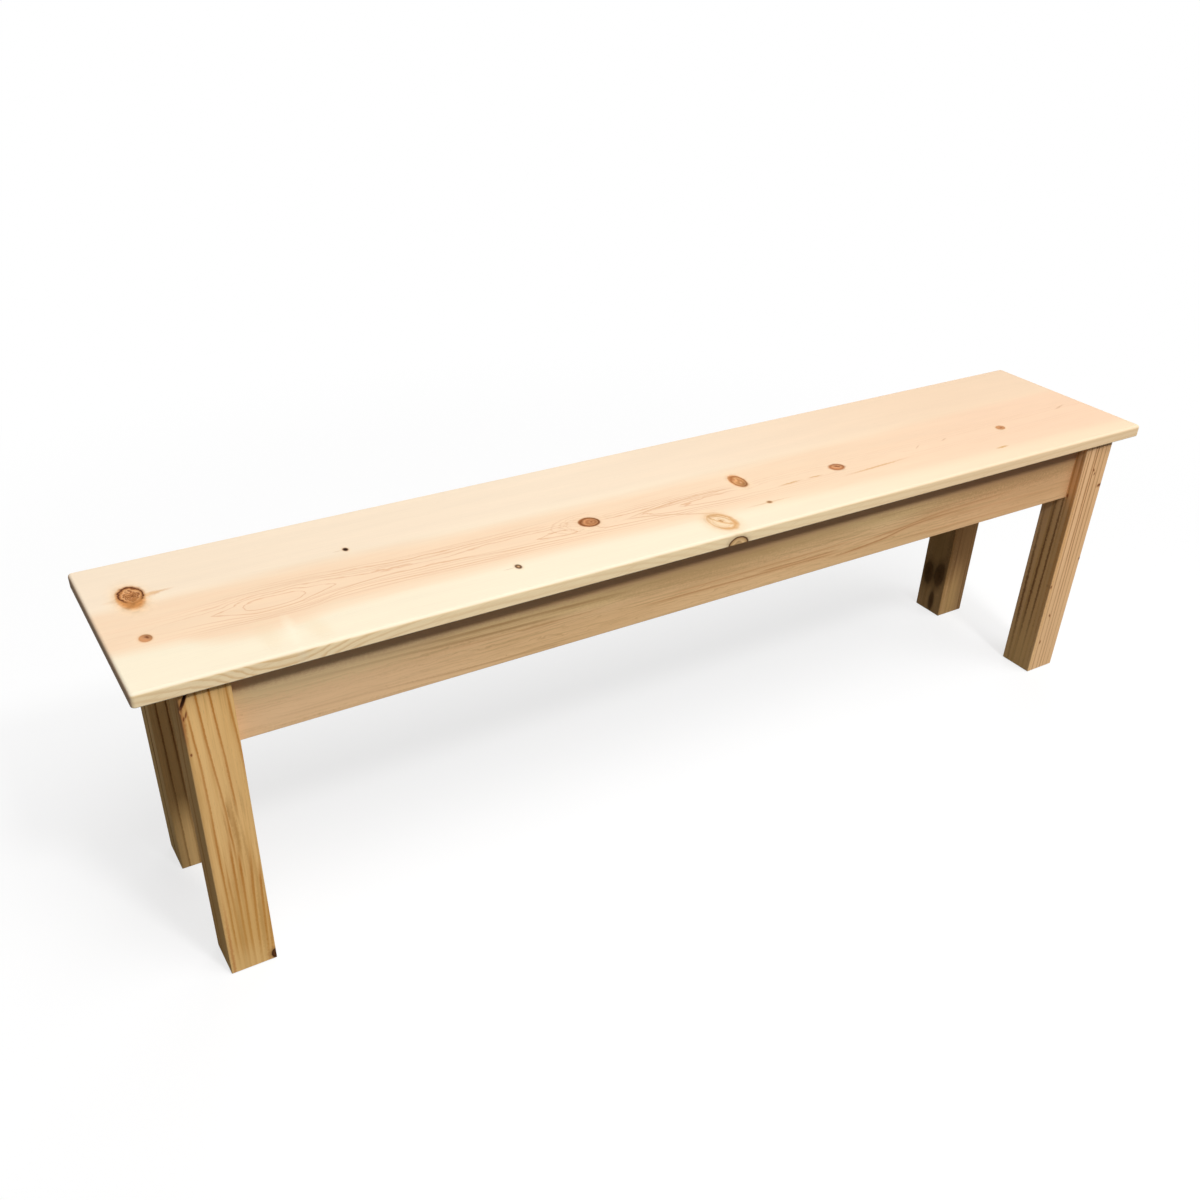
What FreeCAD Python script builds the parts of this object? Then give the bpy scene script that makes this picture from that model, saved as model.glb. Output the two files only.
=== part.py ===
"""Dining bench in solid pine: one plank on a leg-and-apron frame with mitred tenons.

Millimetres, +Z up, +X along the bench, front towards -Y. The origin lies on the floor under the middle
of the seat. Every piece of wood and every screw is a solid of its own.
"""

import FreeCAD, Part
import os

import Sketcher
from FreeCAD import Placement, Rotation, Vector

# Driving sizes: name, millimetres, what it measures
SIZES = (
    ("seat_length", "1524", "seat board, end to end"),
    ("seat_width", "285.75", "seat board, front to back"),
    ("seat_thickness", "17.5", "seat board, underside to top"),
    ("seat_corner_round", "5", "radius of the seat's four corners seen from above"),
    ("seat_top_round", "4", "radius of the eased edge round the seat's top"),
    ("seat_bottom_round", "1.5", "radius of the eased edge round the seat's underside"),
    ("end_overhang", "46", "seat end past the legs"),
    ("side_overhang", "8.5", "seat front and back past the legs"),
    ("leg_length", "409.5", "leg, floor to seat"),
    ("leg_width", "56", "side of the square leg"),
    ("leg_arris", "1.2", "radius of the leg's long edges"),
    ("foot_chamfer", "1.5", "chamfer round the foot of a leg"),
    ("apron_height", "92", "apron, lower edge to seat"),
    ("apron_thickness", "19", "apron, outer to inner face"),
    ("apron_setback", "17", "apron face behind the outer face of the leg"),
    ("apron_arris", "1", "radius of the apron's lower edges"),
    ("tenon_thickness", "8", "tenon, cheek to cheek"),
    ("tenon_top_shoulder", "14", "apron wood left above a tenon"),
    ("tenon_bottom_shoulder", "8", "apron wood left below a tenon"),
    ("mitre_gap", "1", "room between the mitred ends of two tenons"),
    ("glue_gap", "0.1", "clearance on each side of a glued joint"),
    ("groove_drop", "12", "button groove below the top of the apron"),
    ("groove_width", "6.5", "button groove, upper to lower wall"),
    ("groove_depth", "7", "button groove, into the inner face of the apron"),
    ("tongue_slack", "0.5", "room under a button's tongue"),
    ("swelling_room", "2", "room for the seat to move at each end of a button's tongue"),
    ("button_length", "36", "button block, away from the apron"),
    ("button_width", "30", "button block, along the apron"),
    ("button_chamfer", "4", "chamfer on the button's lower inner edge"),
    ("screw_inset", "20", "button screw behind the inner face of the apron"),
    ("screw_head_diameter", "8.4", "pan head, across its face"),
    ("screw_head_height", "2.6", "pan head, face to shank"),
    ("screw_shank_diameter", "4.2", "screw shank"),
    ("counterbore_diameter", "10", "hole that sinks the head of a screw"),
    ("screw_bite", "10", "screw end above the underside of the seat"),
    ("screw_clearance", "0.1", "room round a screw in its hole"),
    ("pilot_room", "0.5", "pilot hole past the end of the screw"),
    ("rail_thickness", "19", "cross rail, side to side"),
    ("rail_height", "60", "cross rail, lower edge to seat"),
    ("rail_housing", "5", "depth of the housing that takes the end of a cross rail"),
    ("rail_arris", "1", "radius of the cross rail's lower edges"),
)

# Bays between the front legs: a button in the middle of each, a cross rail between each two
BAYS = 3
BUTTON_PLACES = [index - (BAYS - 1) / 2 for index in range(BAYS)]
RAIL_PLACES = {name: index - (BAYS - 2) / 2 for index, name in enumerate(("left", "right"))}

# Geometry counts as touching a plane within this distance
TOUCH = 1e-4

# Ends of a line and the centre of a circle in a sketch, and the sketch's own origin
START, END, CENTRE = 1, 2, 3
ORIGIN = -1

FULL_TURN = 360
UP = Vector(0, 0, 1)

doc = FreeCAD.newDocument("DiningBench")
sheet = doc.addObject("Spreadsheet::Sheet", "Sizes")
for row, (alias, value, meaning) in enumerate(SIZES, 1):
    sheet.set(f"A{row}", meaning)
    sheet.set(f"B{row}", value)
    sheet.setAlias(f"B{row}", alias)
doc.recompute()

# Places worked out from the sizes, as expressions
LEG_CORNER_X = "(Sizes.seat_length / 2 - Sizes.end_overhang)"
LEG_CORNER_Y = "(Sizes.seat_width / 2 - Sizes.side_overhang)"
LONG_HALF_SPAN = f"({LEG_CORNER_X} - Sizes.leg_width)"
END_HALF_SPAN = f"({LEG_CORNER_Y} - Sizes.leg_width)"
APRON_INSIDE = "(Sizes.apron_setback + Sizes.apron_thickness)"
BAY = f"({LONG_HALF_SPAN} * 2 / {BAYS})"

TENON_CHEEK = "((Sizes.apron_thickness - Sizes.tenon_thickness) / 2)"
TENON_NEAR = f"(Sizes.apron_setback + {TENON_CHEEK})"
TENON_FAR = f"({TENON_NEAR} + Sizes.tenon_thickness)"
TENON_HEIGHT = "(Sizes.apron_height - Sizes.tenon_top_shoulder - Sizes.tenon_bottom_shoulder)"

TONGUE_THICKNESS = "(Sizes.groove_width - Sizes.tongue_slack)"
BUTTON_THICKNESS = f"(Sizes.groove_drop + {TONGUE_THICKNESS})"
SCREW_HEAD_RADIUS = "(Sizes.screw_head_diameter / 2)"
SCREW_SHANK_RADIUS = "(Sizes.screw_shank_diameter / 2)"
SCREW_SEAT = f"(Sizes.screw_head_height - {BUTTON_THICKNESS})"


def number(expression):
    """Value of a size expression in millimetres."""
    return float(sheet.evalExpression(expression))


def new_body(label):
    """Empty body for one piece."""
    body = doc.addObject("PartDesign::Body", label)
    body.Label = label
    return body


def place(body, east, north, height, turn=0):
    """Stand a body at a point given by size expressions, turned about the vertical by degrees."""
    body.Placement = Placement(Vector(), Rotation(UP, turn))
    for axis, expression in zip("xyz", (east, north, height)):
        body.setExpression(f"Placement.Base.{axis}", expression)
    return body


def new_sketch(body, name, role, lift="0"):
    """Sketch on one of the body's origin planes, lifted off it along its normal."""
    sketch = body.newObject("Sketcher::SketchObject", name)
    plane = next(feature for feature in body.Origin.OriginFeatures if feature.Role == role)
    sketch.AttachmentSupport = [(plane, "")]
    sketch.MapMode = "FlatFace"
    sketch.setExpression("AttachmentOffset.Base.z", lift)
    return sketch


def bind_point(sketch, geometry, point, across, along):
    """Hold a point of a sketch at two size expressions from the sketch's origin."""
    for kind, expression in (("DistanceX", across), ("DistanceY", along)):
        datum = Sketcher.Constraint(kind, ORIGIN, START, geometry, point, number(expression))
        sketch.setExpression(f"Constraints[{sketch.addConstraint(datum)}]", expression)


def add_outline(sketch, corners):
    """Closed outline of straight lines through corners given as pairs of size expressions."""
    places = [Vector(number(across), number(along), 0) for across, along in corners]
    first = sketch.GeometryCount
    for start, end in zip(places, places[1:] + places[:1]):
        sketch.addGeometry(Part.LineSegment(start, end), False)
    for index, (across, along) in enumerate(corners):
        line = first + index
        before = first + (index - 1) % len(corners)
        sketch.addConstraint(Sketcher.Constraint("Coincident", before, END, line, START))
        bind_point(sketch, line, START, across, along)
    return sketch


def add_circle(sketch, across, along, radius):
    """Circle whose centre and radius are size expressions."""
    centre = Vector(number(across), number(along), 0)
    circle = sketch.addGeometry(Part.Circle(centre, UP, number(radius)), False)
    bind_point(sketch, circle, CENTRE, across, along)
    datum = Sketcher.Constraint("Radius", circle, number(radius))
    sketch.setExpression(f"Constraints[{sketch.addConstraint(datum)}]", radius)
    return sketch


def box_corners(left, bottom, right, top):
    """Corners of an upright rectangle for add_outline."""
    return [(left, bottom), (right, bottom), (right, top), (left, top)]


def extrude(body, name, sketch, length, symmetric=False):
    """Pad a sketch along its normal."""
    pad = body.newObject("PartDesign::Pad", name)
    pad.Profile = sketch
    pad.setExpression("Length", length)
    pad.SideType = "Symmetric" if symmetric else "One side"
    doc.recompute()
    return pad


def must_cut(feature, before):
    """Stop if a cut has left the volume of its body as it was."""
    doc.recompute()
    if feature.Shape.Volume > before - TOUCH:
        raise RuntimeError(f"{feature.Label} cuts nothing")
    return feature


def cut_along(body, name, sketch, length, forward=False, symmetric=False):
    """Pocket a sketch against its normal, or along it when forward."""
    before = body.Tip.Shape.Volume
    pocket = body.newObject("PartDesign::Pocket", name)
    pocket.Profile = sketch
    pocket.setExpression("Length", length)
    pocket.Reversed = forward
    pocket.SideType = "Symmetric" if symmetric else "One side"
    return must_cut(pocket, before)


def cut_round(body, name, sketch):
    """Groove a half section about the sketch's upright axis."""
    before = body.Tip.Shape.Volume
    groove = body.newObject("PartDesign::Groove", name)
    groove.Profile = sketch
    groove.ReferenceAxis = (sketch, ["V_Axis"])
    groove.Angle = FULL_TURN
    return must_cut(groove, before)


def edges_of(feature, wanted):
    """Names of the edges whose bounding box passes a test."""
    numbered = enumerate(feature.Shape.Edges, 1)
    return [f"Edge{index}" for index, edge in numbered if wanted(edge.BoundBox)]


def upright(box):
    """True for a vertical straight edge."""
    return box.XLength < TOUCH and box.YLength < TOUCH


def level_at(height):
    """Test for edges that lie in the horizontal plane at a height."""
    return lambda box: abs(box.ZMin - height) < TOUCH and abs(box.ZMax - height) < TOUCH


def lengthwise_at(height):
    """Test for edges along X in the horizontal plane at a height."""
    return lambda box: level_at(height)(box) and box.YLength < TOUCH


def round_edges(body, name, wanted, radius):
    """Fillet the edges of the body's tip that pass a test."""
    base = body.Tip
    fillet = body.newObject("PartDesign::Fillet", name)
    fillet.Base = (base, edges_of(base, wanted))
    fillet.setExpression("Radius", radius)
    doc.recompute()
    return fillet


def bevel_edges(body, name, wanted, size):
    """Chamfer the edges of the body's tip that pass a test."""
    base = body.Tip
    chamfer = body.newObject("PartDesign::Chamfer", name)
    chamfer.Base = (base, edges_of(base, wanted))
    chamfer.setExpression("Size", size)
    doc.recompute()
    return chamfer


def screw_places():
    """Every screw as (node, label, x, y): buttons on all four aprons, then the middle of each rail."""
    side = f"({LEG_CORNER_Y} - {APRON_INSIDE} - Sizes.screw_inset)"
    end = f"({LEG_CORNER_X} - {APRON_INSIDE} - Sizes.screw_inset)"
    places = []
    for name, sign in (("front", "-"), ("back", "")):
        for index, bay in enumerate(BUTTON_PLACES, 1):
            places.append(("button_screws", f"{name}_{index}", f"{BAY} * ({bay})", f"{sign}{side}"))
    for name, sign in (("left_end", "-"), ("right_end", "")):
        places.append(("button_screws", name, f"{sign}{end}", "0"))
    for name, division in RAIL_PLACES.items():
        places.append(("rail_screws", name, f"{BAY} * ({division})", "0"))
    return places


def make_seat():
    """Seat board with eased edges and a blind pilot hole over every screw."""
    body = new_body("seat_board")
    half_length, half_width = "Sizes.seat_length / 2", "Sizes.seat_width / 2"
    outline = new_sketch(body, "seat_outline", "XY_Plane")
    add_outline(outline, box_corners(f"-{half_length}", f"-{half_width}", half_length, half_width))
    extrude(body, "plank", outline, "Sizes.seat_thickness")
    round_edges(body, "plank_corners", upright, "Sizes.seat_corner_round")
    round_edges(body, "top_edge", level_at(number("Sizes.seat_thickness")), "Sizes.seat_top_round")
    round_edges(body, "bottom_edge", level_at(0), "Sizes.seat_bottom_round")
    pilots = new_sketch(body, "pilot_plan", "XY_Plane")
    for _, _, x, y in screw_places():
        add_circle(pilots, x, y, f"{SCREW_SHANK_RADIUS} + Sizes.screw_clearance")
    cut_along(body, "pilots", pilots, "Sizes.screw_bite + Sizes.pilot_room", forward=True)
    return place(body, "0", "0", "Sizes.leg_length")


def make_leg(label, x_sign, y_sign, turn):
    """Square leg, drawn from its outer corner, with the two mortises that meet inside it."""
    body = new_body(label)
    section = new_sketch(body, f"{label}_section", "XY_Plane")
    add_outline(section, box_corners("0", "0", "Sizes.leg_width", "Sizes.leg_width"))
    extrude(body, f"{label}_post", section, "Sizes.leg_length")
    bevel_edges(body, f"{label}_foot", level_at(0), "Sizes.foot_chamfer")
    round_edges(body, f"{label}_arrises", upright, "Sizes.leg_arris")
    near, far = f"{TENON_NEAR} - Sizes.glue_gap", f"{TENON_FAR} + Sizes.glue_gap"
    floor = f"Sizes.leg_length - Sizes.tenon_top_shoulder - {TENON_HEIGHT} - Sizes.glue_gap"
    mortise = new_sketch(body, f"{label}_mortise_plan", "XY_Plane", floor)
    face = "Sizes.leg_width"
    add_outline(mortise, [(near, near), (face, near), (face, far), (far, far), (far, face), (near, face)])
    cut_along(body, f"{label}_mortises", mortise, f"{TENON_HEIGHT} + 2 * Sizes.glue_gap", forward=True)
    return place(body, f"{x_sign}{LEG_CORNER_X}", f"{y_sign}{LEG_CORNER_Y}", "0", turn)


def tenon_corners(half_span, side):
    """Plan of one tenon: square at the shoulder, mitred at the tip, on the side given by its sign."""
    shoulder = f"{side}{half_span}"
    long_tip = f"{side}({half_span} + Sizes.leg_width - {TENON_NEAR} - Sizes.mitre_gap)"
    short_tip = f"{side}({half_span} + Sizes.leg_width - {TENON_FAR} - Sizes.mitre_gap)"
    outer, inner = TENON_CHEEK, f"{TENON_CHEEK} + Sizes.tenon_thickness"
    return [(shoulder, outer), (long_tip, outer), (short_tip, inner), (shoulder, inner)]


def make_apron(label, half_span, rails):
    """Apron, drawn with its outer face on y = 0: board, two tenons, button groove and rail housings."""
    body = new_body(label)
    board = new_sketch(body, f"{label}_plan", "XY_Plane")
    add_outline(board, box_corners(f"-{half_span}", "0", half_span, "Sizes.apron_thickness"))
    extrude(body, f"{label}_board", board, "Sizes.apron_height")
    tenons = new_sketch(body, f"{label}_tenon_plan", "XY_Plane", "Sizes.tenon_bottom_shoulder")
    for side in ("-", ""):
        add_outline(tenons, tenon_corners(half_span, side))
    extrude(body, f"{label}_tenons", tenons, TENON_HEIGHT)
    round_edges(body, f"{label}_arrises", lengthwise_at(0), "Sizes.apron_arris")
    inner = "Sizes.apron_thickness"
    roof = "Sizes.apron_height - Sizes.groove_drop"
    groove = new_sketch(body, f"{label}_groove_section", "YZ_Plane")
    floor = f"{inner} - Sizes.groove_depth"
    add_outline(groove, box_corners(floor, f"{roof} - Sizes.groove_width", inner, roof))
    cut_along(body, f"{label}_groove", groove, f"2 * {half_span}", symmetric=True)
    if rails:
        housings = new_sketch(body, f"{label}_housing_plan", "XY_Plane", "Sizes.apron_height")
        half_rail = "(Sizes.rail_thickness / 2 + Sizes.glue_gap)"
        for division in RAIL_PLACES.values():
            middle = f"{BAY} * ({division})"
            corners = box_corners(
                f"{middle} - {half_rail}", f"{inner} - Sizes.rail_housing", f"{middle} + {half_rail}", inner
            )
            add_outline(housings, corners)
        cut_along(body, f"{label}_housings", housings, "Sizes.rail_height + Sizes.glue_gap")
    return body


def make_long_apron(label, y_sign, turn):
    """Apron between two legs of the same long side."""
    body = make_apron(label, LONG_HALF_SPAN, rails=True)
    face = f"{y_sign}({LEG_CORNER_Y} - Sizes.apron_setback)"
    return place(body, "0", face, "Sizes.leg_length - Sizes.apron_height", turn)


def make_end_apron(label, x_sign, turn):
    """Apron between the front and back legs of one end."""
    body = make_apron(label, END_HALF_SPAN, rails=False)
    face = f"{x_sign}({LEG_CORNER_X} - Sizes.apron_setback)"
    return place(body, face, "0", "Sizes.leg_length - Sizes.apron_height", turn)


def screw_hole(start):
    """Half section of a counterbored hole, from a face below up to the underside of the seat."""
    bore = "Sizes.counterbore_diameter / 2"
    shank = f"{SCREW_SHANK_RADIUS} + Sizes.screw_clearance"
    return [("0", start), (bore, start), (bore, SCREW_SEAT), (shank, SCREW_SEAT), (shank, "0"), ("0", "0")]


def make_rail(label, division):
    """Cross rail, drawn from the underside of the seat down, with a counterbored screw hole in its middle."""
    body = new_body(label)
    half_thickness = "Sizes.rail_thickness / 2"
    half_length = f"({LEG_CORNER_Y} - {APRON_INSIDE} + Sizes.rail_housing - Sizes.glue_gap)"
    plan = new_sketch(body, f"{label}_plan", "XY_Plane", "-Sizes.rail_height")
    add_outline(plan, box_corners(f"-{half_length}", f"-{half_thickness}", half_length, half_thickness))
    extrude(body, f"{label}_board", plan, "Sizes.rail_height")
    round_edges(body, f"{label}_arrises", lengthwise_at(-number("Sizes.rail_height")), "Sizes.rail_arris")
    hole = new_sketch(body, f"{label}_hole_section", "XZ_Plane")
    add_outline(hole, screw_hole("-Sizes.rail_height"))
    cut_round(body, f"{label}_hole", hole)
    return place(body, f"{BAY} * ({division})", "0", "Sizes.leg_length", turn=90)


def make_button(label, x, y, turn):
    """Seat button, drawn round its screw, with its tongue reaching into the apron towards -Y."""
    body = new_body(label)
    apron = "-Sizes.screw_inset"
    tongue_tip = f"{apron} - Sizes.groove_depth + Sizes.swelling_room"
    front = f"{apron} + Sizes.swelling_room"
    back = f"{front} + Sizes.button_length"
    under, rebate = f"-{BUTTON_THICKNESS}", "-Sizes.groove_drop"
    side = new_sketch(body, f"{label}_side", "YZ_Plane")
    add_outline(
        side,
        [(front, "0"), (front, rebate), (tongue_tip, rebate), (tongue_tip, under), (back, under), (back, "0")],
    )
    extrude(body, f"{label}_block", side, "Sizes.button_width", symmetric=True)
    lower, rear = -number(BUTTON_THICKNESS), number(back)
    bevel_edges(
        body,
        f"{label}_ease",
        lambda box: lengthwise_at(lower)(box) and abs(box.YMin - rear) < TOUCH,
        "Sizes.button_chamfer",
    )
    hole = new_sketch(body, f"{label}_hole_section", "XZ_Plane")
    add_outline(hole, screw_hole(under))
    cut_round(body, f"{label}_hole", hole)
    return place(body, x, y, "Sizes.leg_length", turn)


def make_screw(label, x, y):
    """Pan-head wood screw, drawn from the underside of the seat: head and shank below, end above."""
    body = new_body(label)
    face = f"{SCREW_SEAT} - Sizes.screw_head_height"
    head, shank = SCREW_HEAD_RADIUS, SCREW_SHANK_RADIUS
    bite = "Sizes.screw_bite"
    section = new_sketch(body, f"{label}_section", "XZ_Plane")
    add_outline(
        section,
        [("0", face), (head, face), (head, SCREW_SEAT), (shank, SCREW_SEAT), (shank, bite), ("0", bite)],
    )
    turned = body.newObject("PartDesign::Revolution", f"{label}_turned")
    turned.Profile = section
    turned.ReferenceAxis = (section, ["V_Axis"])
    turned.Angle = FULL_TURN
    return place(body, x, y, "Sizes.leg_length")


def make_screw_groups():
    """One node for each kind of screw, holding its screws as separate solids."""
    groups = {}
    for node, label, x, y in screw_places():
        groups.setdefault(node, []).append(make_screw(f"{node}_{label}", x, y))
    nodes = []
    for node, screws in groups.items():
        group = doc.addObject("Part::Compound", node)
        group.Label = node
        group.Links = screws
        nodes.append(group)
    return nodes


def make_buttons():
    """A button under every button screw, its tongue turned to the apron it holds on to."""
    turns = {"front": 0, "right_end": 90, "back": 180, "left_end": 270}
    buttons = []
    for node, label, x, y in screw_places():
        if node == "button_screws":
            side = next(name for name in turns if label.startswith(name))
            buttons.append(make_button(f"seat_button_{label}", x, y, turns[side]))
    return buttons


def make_bench():
    """All the pieces of the bench, one object for each node."""
    nodes = [make_seat()]
    nodes.append(make_leg("leg_front_left", "-", "-", 0))
    nodes.append(make_leg("leg_front_right", "", "-", 90))
    nodes.append(make_leg("leg_back_right", "", "", 180))
    nodes.append(make_leg("leg_back_left", "-", "", 270))
    nodes.append(make_long_apron("apron_front", "-", 0))
    nodes.append(make_long_apron("apron_back", "", 180))
    nodes.append(make_end_apron("apron_left_end", "-", 270))
    nodes.append(make_end_apron("apron_right_end", "", 90))
    for name, division in RAIL_PLACES.items():
        nodes.append(make_rail(f"cross_rail_{name}", division))
    nodes.extend(make_buttons())
    nodes.extend(make_screw_groups())
    return nodes


def check_document(nodes):
    """Stop on a failed feature or a bad shape before anything is written."""
    for item in doc.Objects:
        if "Invalid" in item.State or "Error" in item.State:
            raise RuntimeError(f"{item.Label} failed: {item.State}")
    for node in nodes:
        if node.Shape.isNull() or not node.Shape.isValid() or not node.Shape.Solids:
            raise RuntimeError(f"{node.Label} has no sound solid")


bench = make_bench()
doc.recompute()
check_document(bench)
os.makedirs("parts", exist_ok=True)
for piece in bench:
    piece.Shape.exportStep(f"parts/{piece.Label}.step")
    print(f"{piece.Label}: {len(piece.Shape.Solids)} solid(s), {piece.Shape.Volume / 1000:.1f} cm3")
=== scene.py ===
"""Looks of a plain pine dining bench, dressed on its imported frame.

The frame is in metres. Grain, knots and marks are given in millimetres, measured on each board: along its
fibres, across the face that shows most, and down into that face.
"""

import logging
import math
from collections.abc import Callable, Iterator
from contextlib import contextmanager
from dataclasses import dataclass, field
from enum import Enum
from typing import ClassVar, Union

import bpy
from mathutils import Matrix, Vector


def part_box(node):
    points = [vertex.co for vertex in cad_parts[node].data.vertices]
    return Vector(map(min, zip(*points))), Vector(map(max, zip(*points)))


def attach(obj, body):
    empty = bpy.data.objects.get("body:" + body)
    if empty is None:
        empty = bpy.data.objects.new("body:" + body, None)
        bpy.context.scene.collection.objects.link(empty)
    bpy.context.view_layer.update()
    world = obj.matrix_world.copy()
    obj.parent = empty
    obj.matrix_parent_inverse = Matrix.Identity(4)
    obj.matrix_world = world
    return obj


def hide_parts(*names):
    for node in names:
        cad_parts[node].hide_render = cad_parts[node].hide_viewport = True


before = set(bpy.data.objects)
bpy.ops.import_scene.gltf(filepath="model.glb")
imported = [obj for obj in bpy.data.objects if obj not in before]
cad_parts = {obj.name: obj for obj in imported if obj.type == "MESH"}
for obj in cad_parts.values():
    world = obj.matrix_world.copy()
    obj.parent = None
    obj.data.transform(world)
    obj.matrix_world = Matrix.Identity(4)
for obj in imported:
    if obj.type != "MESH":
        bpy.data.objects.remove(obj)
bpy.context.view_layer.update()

MM = 0.001
MERGE_DISTANCE = 0.01 * MM
CENTRE = (0.0, 0.0, 0.0)
Colour = tuple[float, float, float]
Reach = tuple[float, float]
Stations = tuple[tuple[float, float], ...]
WHITE: Colour = (1.0, 1.0, 1.0)

log = logging.getLogger("bench")


class Wire:
    """One value in a node tree, whose arithmetic adds Math nodes."""

    def __init__(self, graph: "Graph", socket: bpy.types.NodeSocket) -> None:
        """Wrap an output socket of a graph."""
        self.graph = graph
        self.socket = socket

    def __add__(self, other: "Value") -> "Wire":
        """Sum."""
        return self.graph.math("ADD", self, other)

    def __radd__(self, other: "Value") -> "Wire":
        """Sum with a number on the left."""
        return self.graph.math("ADD", other, self)

    def __sub__(self, other: "Value") -> "Wire":
        """Difference."""
        return self.graph.math("SUBTRACT", self, other)

    def __rsub__(self, other: "Value") -> "Wire":
        """Difference from a number on the left."""
        return self.graph.math("SUBTRACT", other, self)

    def __mul__(self, other: "Value") -> "Wire":
        """Product."""
        return self.graph.math("MULTIPLY", self, other)

    def __rmul__(self, other: "Value") -> "Wire":
        """Product with a number on the left."""
        return self.graph.math("MULTIPLY", other, self)

    def __truediv__(self, other: "Value") -> "Wire":
        """Quotient."""
        return self.graph.math("DIVIDE", self, other)

    def __rtruediv__(self, other: "Value") -> "Wire":
        """Quotient of a number on the left."""
        return self.graph.math("DIVIDE", other, self)

    def __abs__(self) -> "Wire":
        """Size without sign."""
        return self.graph.math("ABSOLUTE", self)


Value = Union[Wire, float]


class Graph:
    """A node tree filled by expressions."""

    MIX_FIRST, MIX_SECOND, MIX_RESULT = 6, 7, 2

    def __init__(self, tree: bpy.types.NodeTree) -> None:
        """Empty a tree and take it over."""
        self.tree = tree
        tree.nodes.clear()

    def node(self, kind: str, settings: dict | None = None, sockets: dict | None = None) -> bpy.types.Node:
        """Add any node.

        Args:
            kind: Type of the node.
            settings: Its properties, with a ramp's "stops" or a curve's "points" among them.
            sockets: Numbers, colours without alpha or wires for its inputs, by name or number.

        Returns:
            The new node.
        """
        made = self.tree.nodes.new(kind)
        for name, value in (settings or {}).items():
            if name == "stops":
                self._set_stops(made.color_ramp, value)
            elif name == "points":
                self._set_points(made.mapping, value)
            else:
                setattr(made, name, value)
        for key, value in (sockets or {}).items():
            if isinstance(value, Wire):
                self.tree.links.new(value.socket, made.inputs[key])
            else:
                made.inputs[key].default_value = opaque(value) if made.inputs[key].type == "RGBA" else value
        return made

    @staticmethod
    def _set_stops(ramp: bpy.types.ColorRamp, stops: tuple) -> None:
        """Give a colour ramp its (place, colour with alpha) stops."""
        while len(ramp.elements) < len(stops):
            ramp.elements.new(1.0)
        for element, (place, colour) in zip(ramp.elements, stops):
            element.position = place
            element.color = colour

    @staticmethod
    def _set_points(mapping: bpy.types.CurveMapping, points: Stations) -> None:
        """Give a curve its points, which lie in the unit square."""
        curve = mapping.curves[0]
        while len(curve.points) < len(points):
            curve.points.new(1.0, 1.0)
        for point, place in zip(curve.points, points):
            point.location = place
        mapping.update()

    def wire(
        self, kind: str, settings: dict | None = None, sockets: dict | None = None, output: int | str = 0
    ) -> Wire:
        """Add a node and return one of its outputs, by number or name."""
        return Wire(self, self.node(kind, settings, sockets).outputs[output])

    def math(self, operation: str, *values: Value) -> Wire:
        """One Math node."""
        return self.wire("ShaderNodeMath", {"operation": operation}, dict(enumerate(values)))

    def root(self, value: Wire) -> Wire:
        """Square root."""
        return self.math("SQRT", value)

    def smooth(self, value: Wire, low: float, high: float) -> Wire:
        """Rise smoothly from 0 at low to 1 at high."""
        sockets = {"Value": value, "From Min": low, "From Max": high}
        return self.wire("ShaderNodeMapRange", {"interpolation_type": "SMOOTHSTEP"}, sockets)

    def curve(self, value: Value, stations: Stations) -> Value:
        """Follow a line through a few stations.

        Args:
            value: Where to read the line.
            stations: Pairs of place and height, in order.

        Returns:
            The height, or the plain number where the line is level.
        """
        places, heights = zip(*stations)
        start, span = places[0], places[-1] - places[0]
        low, rise = min(heights), max(heights) - min(heights)
        if rise == 0:
            return low
        points = tuple(((place - start) / span, (height - low) / rise) for place, height in stations)
        share = self.wire("ShaderNodeFloatCurve", {"points": points}, {"Value": (value - start) / span})
        return share * rise + low

    def join(self, x: Value, y: Value, z: Value) -> Wire:
        """Make a vector of three values."""
        return self.wire("ShaderNodeCombineXYZ", None, {0: x, 1: y, 2: z})

    def split(self, vector: Wire) -> tuple[Wire, Wire, Wire]:
        """Take a vector apart."""
        outputs = self.node("ShaderNodeSeparateXYZ", None, {0: vector}).outputs
        return tuple(Wire(self, output) for output in outputs)

    def noise(self, place: Wire, scale: float, detail: float = 2.0, rough: float = 0.5) -> Wire:
        """Cloudy noise about 0, within half a unit either way."""
        sockets = {"Vector": place, "Scale": scale, "Detail": detail, "Roughness": rough}
        return self.wire("ShaderNodeTexNoise", None, sockets) - 0.5

    def mix(self, share: Value, first: Wire | Colour, second: Wire | Colour) -> Wire:
        """Blend two colours, each a wire or plain numbers."""
        sockets = {0: share, self.MIX_FIRST: first, self.MIX_SECOND: second}
        return self.wire("ShaderNodeMix", {"data_type": "RGBA"}, sockets, self.MIX_RESULT)

    def dim(self, vector: Wire, level: Value) -> Wire:
        """Multiply a colour or a place by a level."""
        return self.wire("ShaderNodeVectorMath", {"operation": "SCALE"}, {0: vector, "Scale": level})


def opaque(colour: Colour, alpha: float = 1.0) -> tuple[float, float, float, float]:
    """Colour with an alpha, as a socket or a ramp takes it."""
    return (*colour, alpha)


class Face(Enum):
    """Which face of a board a knot or mark lies on."""

    FLAT = "flat"
    EDGE = "edge"


class Origin(Enum):
    """End of a board from which an axis is measured, as a share of its length."""

    LOW = 0.0
    MIDDLE = 0.5
    HIGH = 1.0


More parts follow.
